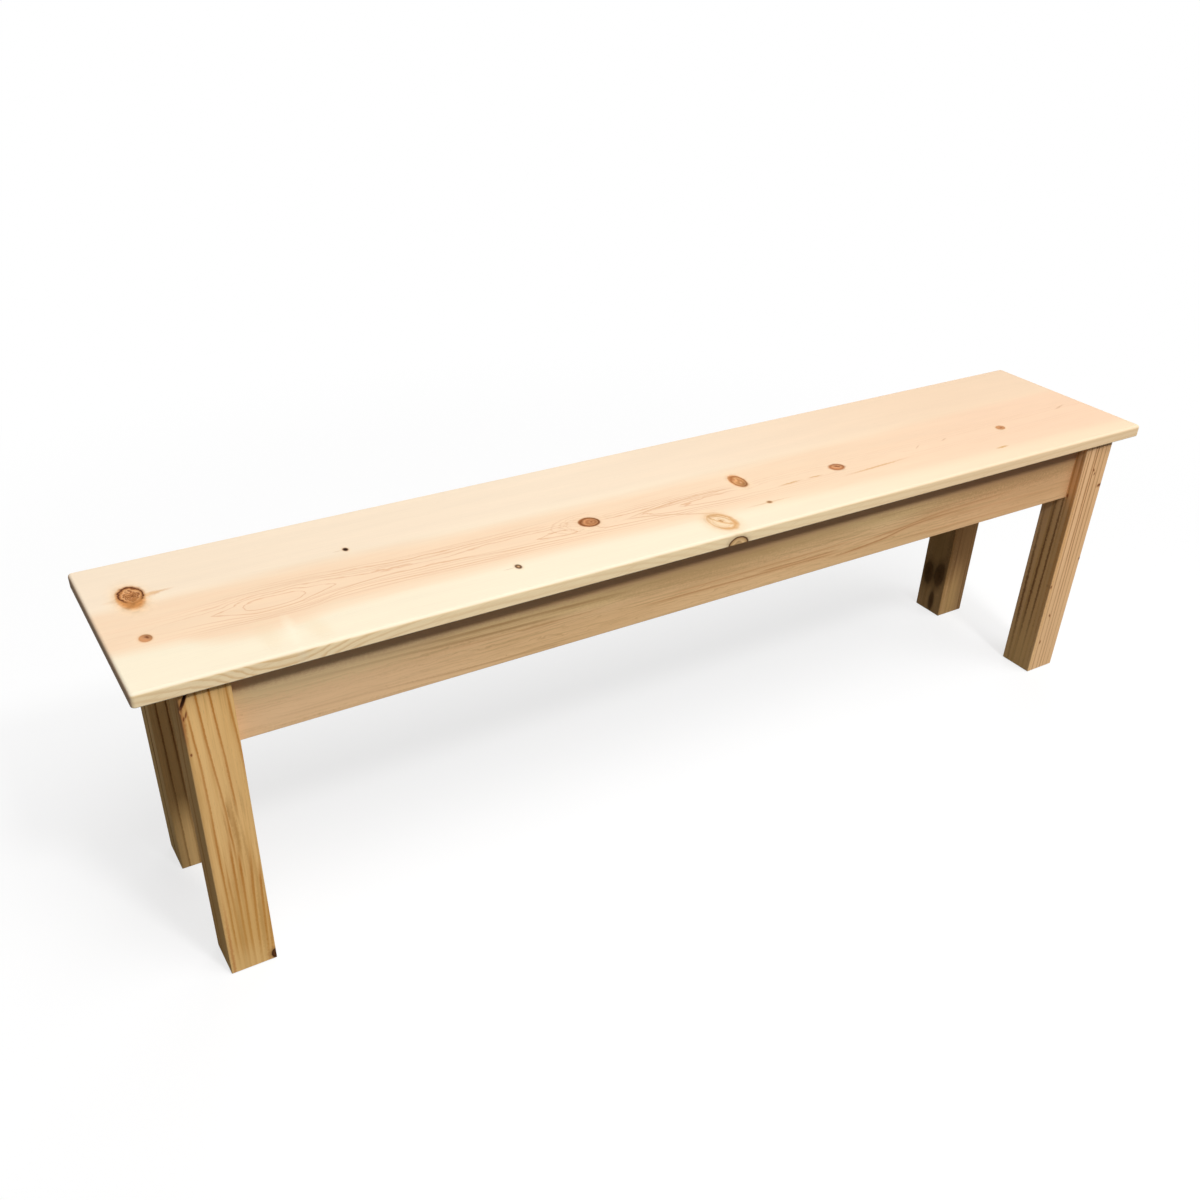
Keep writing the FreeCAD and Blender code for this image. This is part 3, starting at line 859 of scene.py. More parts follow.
    lines: tuple[Line, ...] = tuple(
        Line(course, width, cover, 0.0, colour=(0.70, 0.430, 0.255))
        for width, cover, course in (
            (0.8, 0.60, (
                (-690, -43), (-602, -61), (-550, -60), (-510, -53), (-460, -51), (-337, -56), (-180, -58),
            )),
            (0.8, 0.55, (
                (-680, -49), (-612, -57), (-547, -56), (-502, -46), (-452, -42), (-282, -50), (-150, -56),
            )),
            (0.8, 0.50, (
                (-650, -30), (-612, -44), (-572, -48), (-500, -39), (-412, -37), (-300, -43), (-160, -50),
            )),
            (0.8, 0.50, (
                (-690, -55), (-640, -63), (-560, -65), (-500, -58), (-420, -58), (-300, -62), (-120, -64),
            )),
            (0.8, 0.55, (
                (-680, -8), (-612, -2), (-547, -2), (-500, -8), (-452, -16), (-300, -17), (-185, -6),
            )),
            (0.8, 0.45, ((-660, -2), (-597, 4), (-537, 2), (-482, -5), (-362, -12), (-250, -10), (-170, 2))),
            (0.8, 0.45, ((-640, 4), (-560, 8), (-480, 2), (-380, -4), (-260, -4), (-170, 8))),
            (1.3, 0.95, ((-125, -46), (-90, -38), (-60, -33), (-20, -29), (70, -30))),
            (1.3, 0.95, ((-125, -43), (-90, -49), (-60, -59), (-28, -73), (10, -88))),
            (1.1, 0.70, ((-80, -39), (-40, -36), (0, -35), (50, -38))),
        )
    )
    seed: float = 41.0

    def _ground(self, timber: Timber) -> Wire:
        """Colour of the spring wood: sapwood in front and behind, the heart band between, and brighter,
        yellower long edges, partly the wood's edge colour and partly painted light.
        """
        graph = timber.graph
        rightwards = graph.smooth(timber.along, -250, 640)
        front = graph.mix(rightwards, self.stock.early, self.right_sap)
        behind = graph.mix(rightwards, self.back_sap, self.back_right_sap)
        sap = graph.mix(graph.smooth(timber.across, -40, 60), front, behind)
        drift = timber.ragged * 2 + timber.clouds * 20
        past_back = timber.across - graph.curve(timber.along, self.back_edge) + drift
        past_front = timber.across - graph.curve(timber.along, self.front_edge) + drift
        band = graph.smooth(past_front, -18, 15) * (1 - graph.smooth(past_back, -18, 14))
        heartwood = graph.mix(graph.smooth(timber.along, 100, 700), self.heartwood, self.salmon)
        heartwood = graph.mix(graph.smooth(timber.dapple, -0.15, 0.25) * 0.35, heartwood, self.blush)
        ground = graph.mix(band, sap, heartwood)
        # The long edges, picked by their normals, take the brighter, yellower edge colour: partly painted
        # light.
        sawn = graph.mix(graph.smooth(timber.along, 0, 500), self.edge_tone_and_light, self.edge_right_tone_and_light)
        faces = graph.mix(graph.smooth(abs(timber.outward), 0.2, 0.5), sawn, ground)
        return graph.mix(timber.end_grain, faces, self.end_face)

    def _arcs(self, timber: Timber) -> Wire:
        """Year lines on the long edges, which dip and rise as the rings run out of the plank."""
        graph = timber.graph
        level = timber.depth + graph.curve(timber.along, self.edge_swing)
        level = level + timber.dapple * 6 + timber.ragged * 1.5
        share = graph.math("FRACT", level / self.edge_step)
        line = graph.smooth(share, 0.32, 0.78) * (1 - graph.smooth(share, 0.80, 1.0))
        slanted = graph.join(timber.along * 0.22 + timber.depth * 0.75, timber.along * 0.02, 0.0)
        strokes = graph.smooth(graph.noise(slanted, 1.0, 2.0, 0.5), 0.02, 0.25) * 0.35
        edge = (1 - graph.smooth(abs(timber.outward), 0.15, 0.5)) * (1 - timber.end_grain)
        return graph.math("MAXIMUM", line * graph.curve(timber.along, self.edge_share), strokes) * edge

    def _grain(self, timber: Timber, late: Wire) -> Wire:
        """Lay the year rings over the bands of the plank, mostly along its heart, and arcs on its edges."""
        graph = timber.graph
        ridge = abs(timber.across - graph.curve(timber.along, self.heart.across))
        lines = 1 - graph.smooth(ridge + timber.clouds * 20, 16, 34) * 0.94
        lines = lines * graph.curve(timber.along, self.figured) * self.stock.line
        colour = timber.colours(self._ground(timber), late, lines)
        return graph.mix(self._arcs(timber), colour, self.edge_line)


@dataclass(frozen=True)
class SteelFinish:
    """Bright zinc on a small steel screw."""

    bright: Colour = (0.62, 0.61, 0.58)
    dull: Colour = (0.42, 0.40, 0.36)

    def make(self, name: str) -> bpy.types.Material:
        """Make the material of the screws."""
        material = bpy.data.materials.new(name)
        material.use_nodes = True
        graph = Graph(material.node_tree)
        place = graph.wire("ShaderNodeTexCoord", output="Object")
        blotches = graph.noise(place, 900.0, 3.0, 0.6)
        colour = graph.mix(graph.smooth(blotches, -0.15, 0.2), self.dull, self.bright)
        sockets = {"Base Color": colour, "Roughness": 0.38 - blotches * 0.3, "Metallic": 1.0}
        shader = graph.wire("ShaderNodeBsdfPrincipled", None, sockets)
        graph.node("ShaderNodeOutputMaterial", None, {"Surface": shader})
        return material


YELLOW_LEG = Stock(
    (0.90, 0.565, 0.232), (0.55, 0.225, 0.045), 6.5, 0.14, 0.7, sway=4.0, fibre=0.12, cloud=0.12,
    streak=0.55, streak_colour=(0.66, 0.365, 0.112), streak_size=4.6,
)
SHADY_LEG = Stock(
    (0.86, 0.560, 0.240), (0.34, 0.150, 0.040), 6.5, 0.16, 0.7, sway=4.0, fibre=0.10, cloud=0.10,
    streak=0.35, streak_colour=(0.50, 0.300, 0.115),
)
PINK_LEG = Stock(
    (0.97, 0.610, 0.325), (0.44, 0.200, 0.072), 8.0, 0.16, 0.8, sway=3.0, fibre=0.11, cloud=0.10,
    streak=0.24, streak_colour=(0.68, 0.390, 0.180),
)
DARK_LEG = Stock(
    (0.72, 0.445, 0.215), (0.33, 0.160, 0.066), 8.0, 0.25, 0.8, sway=3.0, fibre=0.11, cloud=0.12,
    streak=0.50, streak_colour=(0.46, 0.265, 0.110),
)
APRON_STOCK = Stock(
    (0.86, 0.570, 0.305), (0.50, 0.270, 0.110), 5.2, 0.45, 0.9, sway=8.0, fibre=0.11, cloud=0.12,
    streak=0.55, streak_colour=(0.58, 0.360, 0.160), streak_size=3.0,
)
INNER_STOCK = Stock(
    (0.80, 0.560, 0.310), (0.52, 0.290, 0.120), 4.2, 0.45, 0.8, sway=5.0, fibre=0.10, cloud=0.12,
)

TOP_DOWN = (Origin.HIGH, Origin.LOW, Origin.LOW)
FROM_MIDDLE = (Origin.MIDDLE, Origin.LOW, Origin.LOW)


def skin(depth: float) -> Reach:
    """Reach from just outside a face to a depth under it."""
    return (-2.0, depth)


FRONT_FACE = skin(8.0)


def flecks(*rows: tuple[float, ...]) -> tuple[Knot, ...]:
    """Resin flecks on the front face, from rows of place along and across, length, width and turn."""
    return tuple(Knot(*row[:4], KnotKind.FLECK, row[4], reach=FRONT_FACE) for row in rows)


LEG_FINISHES: dict[str, BoardFinish] = {
    "leg_front_left": BoardFinish(
        YELLOW_LEG,
        Heart(((-20, 110), (430, 118)), ((-20, 70), (430, 60))),
        knots=(
            Knot(400.5, 55.8, 15, 12, KnotKind.SOUND, 0, 5, rag=0.45, reach=skin(12.0)),
            *flecks((80, 3.0, 4, 2.4, 0), (29, 5.4, 9, 2.0, -14), (33.5, 2.4, 6, 2.0, -14)),
            Knot(12.0, 5.2, 25, 4.0, KnotKind.BARK, -25, reach=skin(4.0), rag=0.6),
        ),
        lines=(
            Line(((-30, 3.4), (60, 8.4), (125, 10.8), (250, 11.2), (440, 12.2)), 1.6, 0.90),
            Line(((-50, 15.5), (50, 20.0), (100, 22.9), (167, 27.0), (260, 30.0)), 1.6, 1.00),
            Line(((-40, 30.0), (60, 34.8), (125, 38.0), (190, 40.0)), 1.6, 1.00),
            Line(((-40, 46.5), (50, 52.0), (100, 55.0), (150, 58.0)), 1.6, 0.80),
            Line(((180, 25.2), (260, 24.2), (330, 23.6), (480, 22.6)), 2.0, 1.00),
            Line(((205, 33.6), (300, 31.5), (480, 29.4)), 2.2, 1.00),
            Line(((215, 46.0), (320, 41.0), (480, 36.0)), 2.2, 1.00),
            Line(((240, 54.0), (340, 49.8), (480, 44.5)), 2.0, 1.00),
            Line(((290, 57.5), (360, 54.2), (480, 49.5)), 1.8, 0.85),
            Line(((225, 16.0), (330, 17.0), (480, 18.0)), 1.6, 0.70),
        ),
        marks=(
            Mark(168, 29.5, 40, 4, (0.46, 0.225, 0.062), 0.80, 0.03),
            Mark(182, 24.0, 60, 3, (0.54, 0.265, 0.075), 0.60, 0.05),
            Mark(230, 42.0, 120, 5, (0.54, 0.290, 0.090), 0.50, 0.04),
            Mark(205, 35.0, 80, 5, (0.54, 0.280, 0.080), 0.60, 0.02),
            Mark(165, 38.0, 60, 4, (0.52, 0.265, 0.078), 0.55, 0.06),
            Mark(160, 46.0, 60, 5, (0.56, 0.330, 0.125), 0.45, 0.05),
            Mark(380, 28.0, 300, 120, (0.78, 0.455, 0.138), 0.45),
            Mark(330, 46.0, 260, 8, (0.52, 0.275, 0.075), 0.45, -0.03),
            Mark(350, 20.0, 240, 6, (0.56, 0.300, 0.085), 0.40, -0.01),
            Mark(130, 26.0, 260, 60, (0.90, 0.590, 0.265), 0.20),
            Mark(185, 33.0, 110, 9, (0.50, 0.245, 0.068), 0.55, 0.03),
            # Painted shade: the whole left face, turned away from the lamps, darker.
            Mark(200, 28.0, 1200, 200, (0.56, 0.335, 0.130), 0.40, face=Face.EDGE, reach=skin(0.5)),
            Mark(36, 1.0, 100, 7, (0.46, 0.17, 0.050), 0.75, reach=skin(9.0)),
            Mark(410, 24.0, 100, 90, (0.93, 0.620, 0.265), 0.45, reach=FRONT_FACE),
            Mark(375, 4.6, 230, 5.0, (0.58, 0.235, 0.065), 0.70, -0.012, reach=FRONT_FACE),
        ),
        seed=3.0,
    ),
    "leg_front_right": BoardFinish(
        PINK_LEG,
        Heart(((-20, -58), (430, -55)), ((-20, 34), (430, 30))),
        knots=(
            *flecks((45, 28, 6, 3, 30), (52, 32, 5, 2.4, -20)),
            Knot(75, 52.0, 5, 10, KnotKind.FLECK, 10, reach=skin(0.0)),
            Knot(205, 55, 6, 5, KnotKind.FLECK, reach=skin(0.0)),
            *flecks((245, 2, 6, 3, 0), (303, 18, 6, 3, 20), (353, 12, 7, 2.6, 0)),
            Knot(88, 14, 7, 3, KnotKind.FLECK, face=Face.EDGE, reach=skin(6.0)),
        ),
        lines=(
            Line(((-90, 3.6), (150, 4.4), (520, 3.8)), 1.5, 0.72, -0.76, 0.25),
            Line(((-90, 10.0), (120, 10.8), (300, 10.2), (520, 10.6)), 1.6, 0.86, -0.76, 0.9),
            Line(((-90, 21.0), (150, 22.0), (300, 21.4), (520, 22.0)), 1.6, 0.86, -0.76, 0.3),
            Line(((-90, 28.2), (120, 26.8), (260, 29.0), (520, 27.6)), 1.5, 1.00, -0.76, 0.9),
            Line(((-90, 35.0), (140, 35.8), (520, 35.2)), 1.5, 0.69, -0.76, 0.3),
            Line(((-90, 45.4), (200, 44.8), (520, 45.6)), 1.5, 0.55, -0.76, 0.2),
        ),
        marks=(
            Mark(200, 0.5, 460, 3.0, (0.36, 0.14, 0.055), 0.45, reach=skin(4.0)),
            Mark(250, 24.0, 560, 90, (0.97, 0.560, 0.215), 0.80, face=Face.EDGE, reach=skin(4.0)),
            Mark(200, 4.0, 560, 9, (0.80, 0.380, 0.110), 0.60, face=Face.EDGE, reach=skin(4.0)),
            Mark(200, 20.0, 560, 6, (0.26, 0.100, 0.027), 0.82, 0.01, Face.EDGE, skin(4.0)),
            Mark(230, 33.0, 520, 7, (0.25, 0.097, 0.026), 0.85, 0.012, Face.EDGE, skin(4.0)),
            Mark(290, 47.0, 480, 7, (0.26, 0.100, 0.027), 0.82, -0.012, Face.EDGE, skin(4.0)),
            Mark(410, 28.0, 240, 140, (0.96, 0.600, 0.230), 0.55, face=Face.EDGE, reach=skin(2.0)),
            Mark(370, 22.0, 520, 110, (1.00, 0.670, 0.365), 0.40, reach=skin(2.0)),
        ),
        seed=17.0,
        tint=(0.91, 0.560, 0.285),
        tint_from=24.0,
        tint_to=44.0,
    ),
    "leg_back_left": BoardFinish(
        SHADY_LEG,
        Heart(((-20, 100), (430, 104)), ((-20, 60), (430, 66))),
        lines=(
            Line(((-90, 0.0), (0, 4.4), (70, 8.2), (200, 9.8), (520, 10.8)), 1.6, 1.00, -0.4),
            Line(((-90, 11.0), (0, 16.6), (70, 20.4), (200, 22.6), (520, 25.6)), 1.6, 1.00, -0.4),
            Line(((-90, 35.5), (200, 37.5), (520, 39.0)), 1.6, 0.94, -0.4),
            Line(((-90, 48.0), (200, 49.5), (520, 51.0)), 1.6, 0.86, -0.4),
        ),
        marks=(Mark(360, 28, 320, 140, (0.90, 0.595, 0.250), 0.35),),
        seed=29.0,
    ),
    "leg_back_right": BoardFinish(
        DARK_LEG,
        Heart(((-20, 92), (430, 88)), ((-20, -12), (430, -8))),
        knots=(
            Knot(337, 41, 40, 20, KnotKind.SMUDGE, 0, 5, (0, 0), Face.EDGE, skin(12.0), 0.6, mottle=0.8),
            Knot(332, 16, 44, 20, KnotKind.SMUDGE, 8, 5, (0, 0), Face.EDGE, skin(12.0), 0.5, mottle=0.8),
            Knot(387, 23, 33, 10, KnotKind.SMUDGE, 0, 4, face=Face.EDGE, reach=skin(12.0)),
        ),
        lines=(
            Line(((-90, 16.0), (200, 17.0), (520, 17.6)), 2.4, 0.60, 0.3),
            Line(((-90, 27.0), (200, 26.4), (520, 28.4)), 1.8, 0.35, 0.3),
            Line(((-90, 44.0), (120, 45.8), (260, 47.0), (520, 50.6)), 2.0, 0.70, 0.3),
            Line(((-90, 50.0), (200, 51.8), (520, 53.6)), 1.8, 0.45, 0.3),
        ),
        marks=(
            # The inner face darker all over: partly the wood's darker tone, partly painted shade under the
            # front apron.
            Mark(230, 28, 640, 160, (0.42, 0.230, 0.066), 0.70, face=Face.EDGE, reach=skin(4.0)),
            # Painted shadow: the front face darker in its upper part, under the seat and the front apron.
            Mark(140, 28, 620, 160, (0.36, 0.190, 0.070), 0.85, reach=FRONT_FACE),
            Mark(385, 24, 170, 56, (0.60, 0.390, 0.155), 0.55, reach=FRONT_FACE),
            Mark(170, 40, 160, 10, (0.24, 0.120, 0.045), 0.50, 0.04, reach=FRONT_FACE),
            Mark(330, 14, 120, 8, (0.30, 0.160, 0.060), 0.50, -0.05, reach=FRONT_FACE),
            Mark(215, 12, 90, 12, (0.40, 0.220, 0.085), 0.55, 0.03, reach=FRONT_FACE),
        ),
        seed=53.0,
    ),
}


def pick_only(piece: bpy.types.Object) -> None:
    """Select one object and make it the active one."""
    bpy.ops.object.select_all(action="DESELECT")
    piece.select_set(True)
    bpy.context.view_layer.objects.active = piece


@contextmanager
def editing(pick: str | None = "SELECT") -> Iterator[None]:
    """Edit the active mesh, after picking all of it, or with what is picked already."""
    bpy.ops.object.mode_set(mode="EDIT")
    if pick:
        bpy.ops.mesh.select_all(action=pick)
    yield
    bpy.ops.object.mode_set(mode="OBJECT")


def added(operator: Callable, **settings: float | str | tuple) -> bpy.types.Object:
    """Add an object by an operator, with nothing else selected."""
    bpy.ops.object.select_all(action="DESELECT")
    operator(**settings)
    return bpy.context.object


def copy_of(node: str, name: str) -> bpy.types.Object:
    """Copy a node of the frame as a closed mesh of its own.

    Args:
        node: Node to copy.
        name: Name of the copy.

    Returns:
        The copy, selected and active.
    """
    piece = bpy.data.objects.new(name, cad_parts[node].data.copy())
    bpy.context.collection.objects.link(piece)
    pick_only(piece)
    with editing():
        bpy.ops.mesh.customdata_custom_splitnormals_clear()
        bpy.ops.mesh.remove_doubles(threshold=MERGE_DISTANCE)
    return piece


def carve(piece: bpy.types.Object, cutter: bpy.types.Object) -> None:
    """Cut one object, which may cross itself, out of another and throw it away."""
    pick_only(piece)
    cut = piece.modifiers.new("cut", "BOOLEAN")
    cut.operation = "DIFFERENCE"
    cut.solver = "EXACT"
    cut.use_self = True
    cut.object = cutter
    bpy.ops.object.modifier_apply(modifier=cut.name)
    bpy.data.objects.remove(cutter)


def paint(piece: bpy.types.Object, material: bpy.types.Material) -> None:
    """Give a piece or a node of the frame its one material."""
    piece.data.materials.clear()
    piece.data.materials.append(material)
    log.info("%s: %s", piece.name, material.name)


@dataclass
class Seat:
    """The one long plank."""

    node: str = "seat_board"
    finish: SeatFinish = SeatFinish()

    def build(self) -> None:
        """Lay the plank's grain along X, seen from above."""
        layout = Layout(self.node, "XYZ", (Origin.MIDDLE, Origin.MIDDLE, Origin.HIGH))
        paint(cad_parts[self.node], self.finish.make("seat_pine", layout))


@dataclass(frozen=True)
class Chip:
    """A bite out of the front of a leg: its middle from the left and the top, its size in mm and its turn."""

    RAGGED: ClassVar[float] = 0.06

    across: float
    down: float
    length: float
    width: float
    depth: float
    turn: float
    seed: int

    def cutter(self, low: Vector, high: Vector) -> bpy.types.Object:
        """Model the lump that leaves the bite.

        Args:
            low: Lowest corner of the leg.
            high: Highest corner of the leg.

        Returns:
            A ragged lump over the edge.
        """
        lump = added(bpy.ops.mesh.primitive_ico_sphere_add, subdivisions=3, radius=0.5)
        size = (self.width * MM, self.depth * MM, self.length * MM)
        place = (low.x + self.across * MM, low.y, high.z - self.down * MM)
        with editing():
            bpy.ops.transform.vertex_random(offset=self.RAGGED, seed=self.seed)
            bpy.ops.transform.resize(value=size, center_override=CENTRE)
            bpy.ops.transform.rotate(value=-math.radians(self.turn), orient_axis="Y", center_override=CENTRE)
            bpy.ops.transform.translate(value=place)
        return lump


@dataclass
class Legs:
    """Four square legs, each from its own length of timber, one of them with a bark pocket on its edge."""

    chipped: str = "leg_front_left"
    chips: tuple[Chip, ...] = (
        Chip(5.2, 12.0, 27.0, 3.4, 6.0, 25.0, 3),
        Chip(0.6, 23.0, 9.0, 2.6, 4.0, 12.0, 5),
    )
    finishes: dict[str, BoardFinish] = field(default_factory=lambda: dict(LEG_FINISHES))
    smooth_angle: float = math.radians(28)

    def build(self) -> None:
        """Stand the grain of each leg upright, seen from the front and measured down from its top."""
        for node, finish in self.finishes.items():
            leg = self._chip(node) if node == self.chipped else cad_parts[node]
            paint(leg, finish.make(f"{node}_pine", Layout(node, "ZXY", TOP_DOWN)))

    def _chip(self, node: str) -> bpy.types.Object:
        """Cut the bark pocket into a copy of a leg, which then stands for it."""
        leg = copy_of(node, f"{node}_chipped")
        for chip in self.chips:
            carve(leg, chip.cutter(*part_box(node)))
        pick_only(leg)
        bpy.ops.object.shade_smooth_by_angle(angle=self.smooth_angle)
        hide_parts(node)
        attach(leg, "root")
        return leg


@dataclass
class Aprons:
    """Two long aprons and two short ones under the seat."""

    long_nodes: tuple[str, ...] = ("apron_front", "apron_back")
    end_nodes: tuple[str, ...] = ("apron_left_end", "apron_right_end")
    heart: Heart = Heart(((-700, -38), (0, -60), (700, -44)), ((-700, 30), (700, 24)))
    lines: tuple[Line, ...] = tuple(
        Line(course, width, cover, 0.0, colour=colour)
        for width, cover, colour, course in (
            (2.2, 0.75, None, ((-650, 55), (-500, 52), (-380, 47), (-220, 44))),
            (2.2, 0.70, None, ((-560, 62), (-430, 57), (-300, 55), (-120, 50))),
            (2.2, 0.55, None, ((-480, 70), (-330, 66), (-100, 64))),
            (2.4, 0.40, None, ((-250, 72), (-60, 66), (180, 68), (420, 66))),
            (1.6, 0.60, None, ((-650, 17), (-520, 14), (-360, 7), (-240, 5))),
            (1.4, 0.45, None, ((-640, 5), (-520, 4), (-400, 3))),
            (1.5, 0.40, (0.66, 0.330, 0.140), ((-420, 40), (-300, 39), (-180, 37))),
            (1.5, 0.85, (0.56, 0.245, 0.092), ((-160, 24), (-60, 23), (80, 21), (220, 20))),
            (1.5, 0.60, (0.60, 0.275, 0.108), ((-120, 30), (60, 31), (240, 33))),
            (1.5, 0.80, (0.54, 0.235, 0.088), ((40, 25), (130, 24), (200, 26))),
            (1.6, 0.85, (0.56, 0.245, 0.092), ((160, 14), (260, 20), (340, 30), (450, 33))),
            (1.6, 0.70, (0.58, 0.260, 0.100), ((200, 24), (300, 30), (400, 38), (560, 40))),
            (1.5, 0.45, (0.60, 0.270, 0.110), ((380, 27), (480, 26), (640, 23))),
            (1.5, 0.45, (0.62, 0.290, 0.120), ((300, 12), (440, 11), (600, 9))),
            (1.6, 0.45, (0.56, 0.265, 0.110), ((330, 44), (480, 47), (650, 46))),
        )
    )
    marks: tuple[Mark, ...] = (
        Mark(560, 30, 560, 130, (0.83, 0.465, 0.230), 0.50),
        Mark(540, 70, 640, 70, (0.56, 0.310, 0.135), 0.80),
        Mark(0, 60, 700, 56, (0.60, 0.375, 0.165), 0.70),
        Mark(0, 18, 900, 52, (0.76, 0.470, 0.215), 0.30),
        Mark(-560, 20, 520, 90, (0.92, 0.615, 0.355), 0.65),
        Mark(-580, 64, 460, 60, (0.88, 0.660, 0.370), 0.60),
        # Painted shadow: a reddish-brown band along the top of both long aprons, under the seat's overhang.
        Mark(0, 73, 4200, 34, (0.66, 0.365, 0.215), 0.65),
    )

    def build(self) -> None:
        """Run the grain of each apron along its length, greener above and pinker below."""
        for number, node in enumerate(self.long_nodes + self.end_nodes):
            is_long = node in self.long_nodes
            finish = BoardFinish(
                APRON_STOCK,
                self.heart,
                lines=self.lines if is_long else (),
                marks=self.marks if is_long else (),
                seed=11.0 + 37.0 * number,
                tint=(0.780, 0.555, 0.270),
                tint_from=34.0,
                tint_to=68.0,
            )
            layout = Layout(node, "XZY" if is_long else "YZX", FROM_MIDDLE)
            paint(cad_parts[node], finish.make(f"{node}_pine", layout))


@dataclass
class InnerWood:
    """Cross rails and seat buttons, from offcuts."""

    rails: tuple[str, ...] = ("cross_rail_left", "cross_rail_right")
    buttons: str = "seat_button_"
    end_buttons: str = "_end"

    def build(self) -> None:
        """Run the grain of rails and buttons away from the aprons that they hold on to."""
        nodes = [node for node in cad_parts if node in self.rails or node.startswith(self.buttons)]
        for number, node in enumerate(sorted(nodes)):
            lengthwise = node.endswith(self.end_buttons)
            layout = Layout(node, "XYZ" if lengthwise else "YXZ", FROM_MIDDLE)
            offset = 20.0 + 7.0 * (number % 4)
            heart = Heart(((-100, offset), (100, offset)), ((-100, -22), (100, -22)))
            finish = BoardFinish(INNER_STOCK, heart, seed=71.0 + 23.0 * number)
            paint(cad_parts[node], finish.make(f"{node}_pine", layout))


@dataclass
class Screws:
    """Pan-head screws that hold the seat from below, modelled once and copied to every place."""

    nodes: tuple[str, ...] = ("button_screws", "rail_screws")
    finish: SteelFinish = SteelFinish()
    head_radius: float = 4.2 * MM
    head_height: float = 2.6 * MM
    shank_radius: float = 2.1 * MM
    core_radius: float = 1.5 * MM
    plain_shank: float = 7.0 * MM
    pitch: float = 1.8 * MM
    recess_depth: float = 1.5 * MM
    recess_width: float = 1.1 * MM
    recess_span: float = 4.6 * MM
    recess_taper: tuple[float, float, float] = (0.55, 0.7, 1.0)
    neck_share: float = 0.8
    rim_share: float = 0.62
    point_share: float = 0.12
    smooth_angle: float = math.radians(35)
    head_sides: int = 40
    rim_segments: int = 6
    core_sides: int = 24
    thread_steps: int = 18
    tolerance: float = 1e-6

    def _places(self) -> dict[str, list[tuple[float, float]]]:
        """Middle of every screw of each node, from the nodes' boxes."""
        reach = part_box(self.nodes[0])[1] - Vector((self.head_radius, self.head_radius, 0.0))
        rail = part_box(self.nodes[1])[1].x - self.head_radius
        bays = (-2 * rail, 0.0, 2 * rail)
        buttons = [(x, side * reach.y) for side in (-1, 1) for x in bays]
        ends = [(side * reach.x, 0.0) for side in (-1, 1)]
        return {self.nodes[0]: buttons + ends, self.nodes[1]: [(-rail, 0.0), (rail, 0.0)]}

    def _recess(self, face: float) -> bpy.types.Object:
        """Model the cross that is cut into the face of the head, narrower at its bottom."""
        cross = added(bpy.ops.mesh.primitive_cube_add, size=1.0)
        with editing():
            bpy.ops.transform.resize(value=(self.recess_span, self.recess_width, 2 * self.recess_depth))
            bpy.ops.mesh.select_all(action="DESELECT")
        for polygon in cross.data.polygons:
            polygon.select = polygon.normal.z > 0.9
        with editing(None):
            bottom = (0.0, 0.0, self.recess_depth)
            bpy.ops.transform.resize(value=self.recess_taper, center_override=bottom)
            bpy.ops.mesh.select_all(action="SELECT")
            bpy.ops.mesh.duplicate()
            bpy.ops.transform.rotate(value=math.pi / 2, orient_axis="Z", center_override=CENTRE)
            bpy.ops.mesh.select_all(action="SELECT")
            bpy.ops.transform.translate(value=(0.0, 0.0, face))
        return cross

    def _neck(self, face: float) -> float:
        """Height at which the shank leaves the head."""
        return face + self.head_height * self.neck_share

    def _core(self, face: float, tip: float) -> bpy.types.Object:
        """Model the shank: plain under the head, then the thinner core of the thread, ending in a point."""
        core = added(
            bpy.ops.mesh.primitive_circle_add, vertices=self.core_sides, radius=self.shank_radius,
            fill_type="NGON",
        )
        level = self._neck(face)
        step = 0.4 * self.pitch
        point = 2 * self.pitch
        threaded = tip - point - level - self.plain_shank - step
        narrower = self.core_radius / self.shank_radius
        steps = ((self.plain_shank, 1.0), (step, narrower), (threaded, 1.0), (point, self.point_share))
        with editing():
            bpy.ops.transform.translate(value=(0.0, 0.0, level))
            for rise, scale in steps:
                level += rise
                bpy.ops.mesh.extrude_region_move(TRANSFORM_OT_translate={"value": (0.0, 0.0, rise)})
                bpy.ops.transform.resize(value=(scale, scale, 1.0), center_override=(0.0, 0.0, level))
        return core

    def _thread(self, face: float, tip: float) -> bpy.types.Object:
        """Model the ridge of the thread by screwing a small triangle round the core."""
        start = self._neck(face) + self.plain_shank + 0.9 * self.pitch
        ridge = self.shank_radius - self.core_radius
        thread = added(bpy.ops.mesh.primitive_circle_add, vertices=3, radius=ridge, fill_type="NOTHING")
        with editing():
            for axis in "ZX":
                bpy.ops.transform.rotate(value=math.pi / 2, orient_axis=axis, center_override=CENTRE)
        points = [vertex.co for vertex in thread.data.vertices]
        lean = 1.0 if max(points, key=lambda point: abs(point.x)).x > 0 else -1.0
        with editing():
            bpy.ops.transform.translate(value=(lean * self.core_radius, 0.0, start))
        sweep = thread.modifiers.new("sweep", "SCREW")
        sweep.axis = "Z"
        sweep.angle = 2 * math.pi
        sweep.screw_offset = self.pitch
        sweep.iterations = int((tip - start) / self.pitch) - 2
        sweep.steps = sweep.render_steps = self.thread_steps
        bpy.ops.object.modifier_apply(modifier=sweep.name)
        with editing():
            bpy.ops.mesh.fill_holes(sides=3)
        return thread

    def _head(self, face: float) -> bpy.types.Object:
        """Model the round head with its domed rim."""
        head = added(
            bpy.ops.mesh.primitive_cylinder_add, vertices=self.head_sides, radius=self.head_radius,
            depth=self.head_height, location=(0.0, 0.0, face + self.head_height / 2),
        )
        bpy.ops.object.transform_apply(location=True)
        with editing():
            bpy.ops.mesh.select_all(action="DESELECT")
        for edge in head.data.edges:
            levels = [head.data.vertices[corner].co.z for corner in edge.vertices]
            edge.select = max(levels) < face + self.tolerance
        with editing(None):
            bpy.ops.mesh.select_mode(type="EDGE")
            bpy.ops.mesh.bevel(offset=self.head_height * self.rim_share, segments=self.rim_segments)
        return head

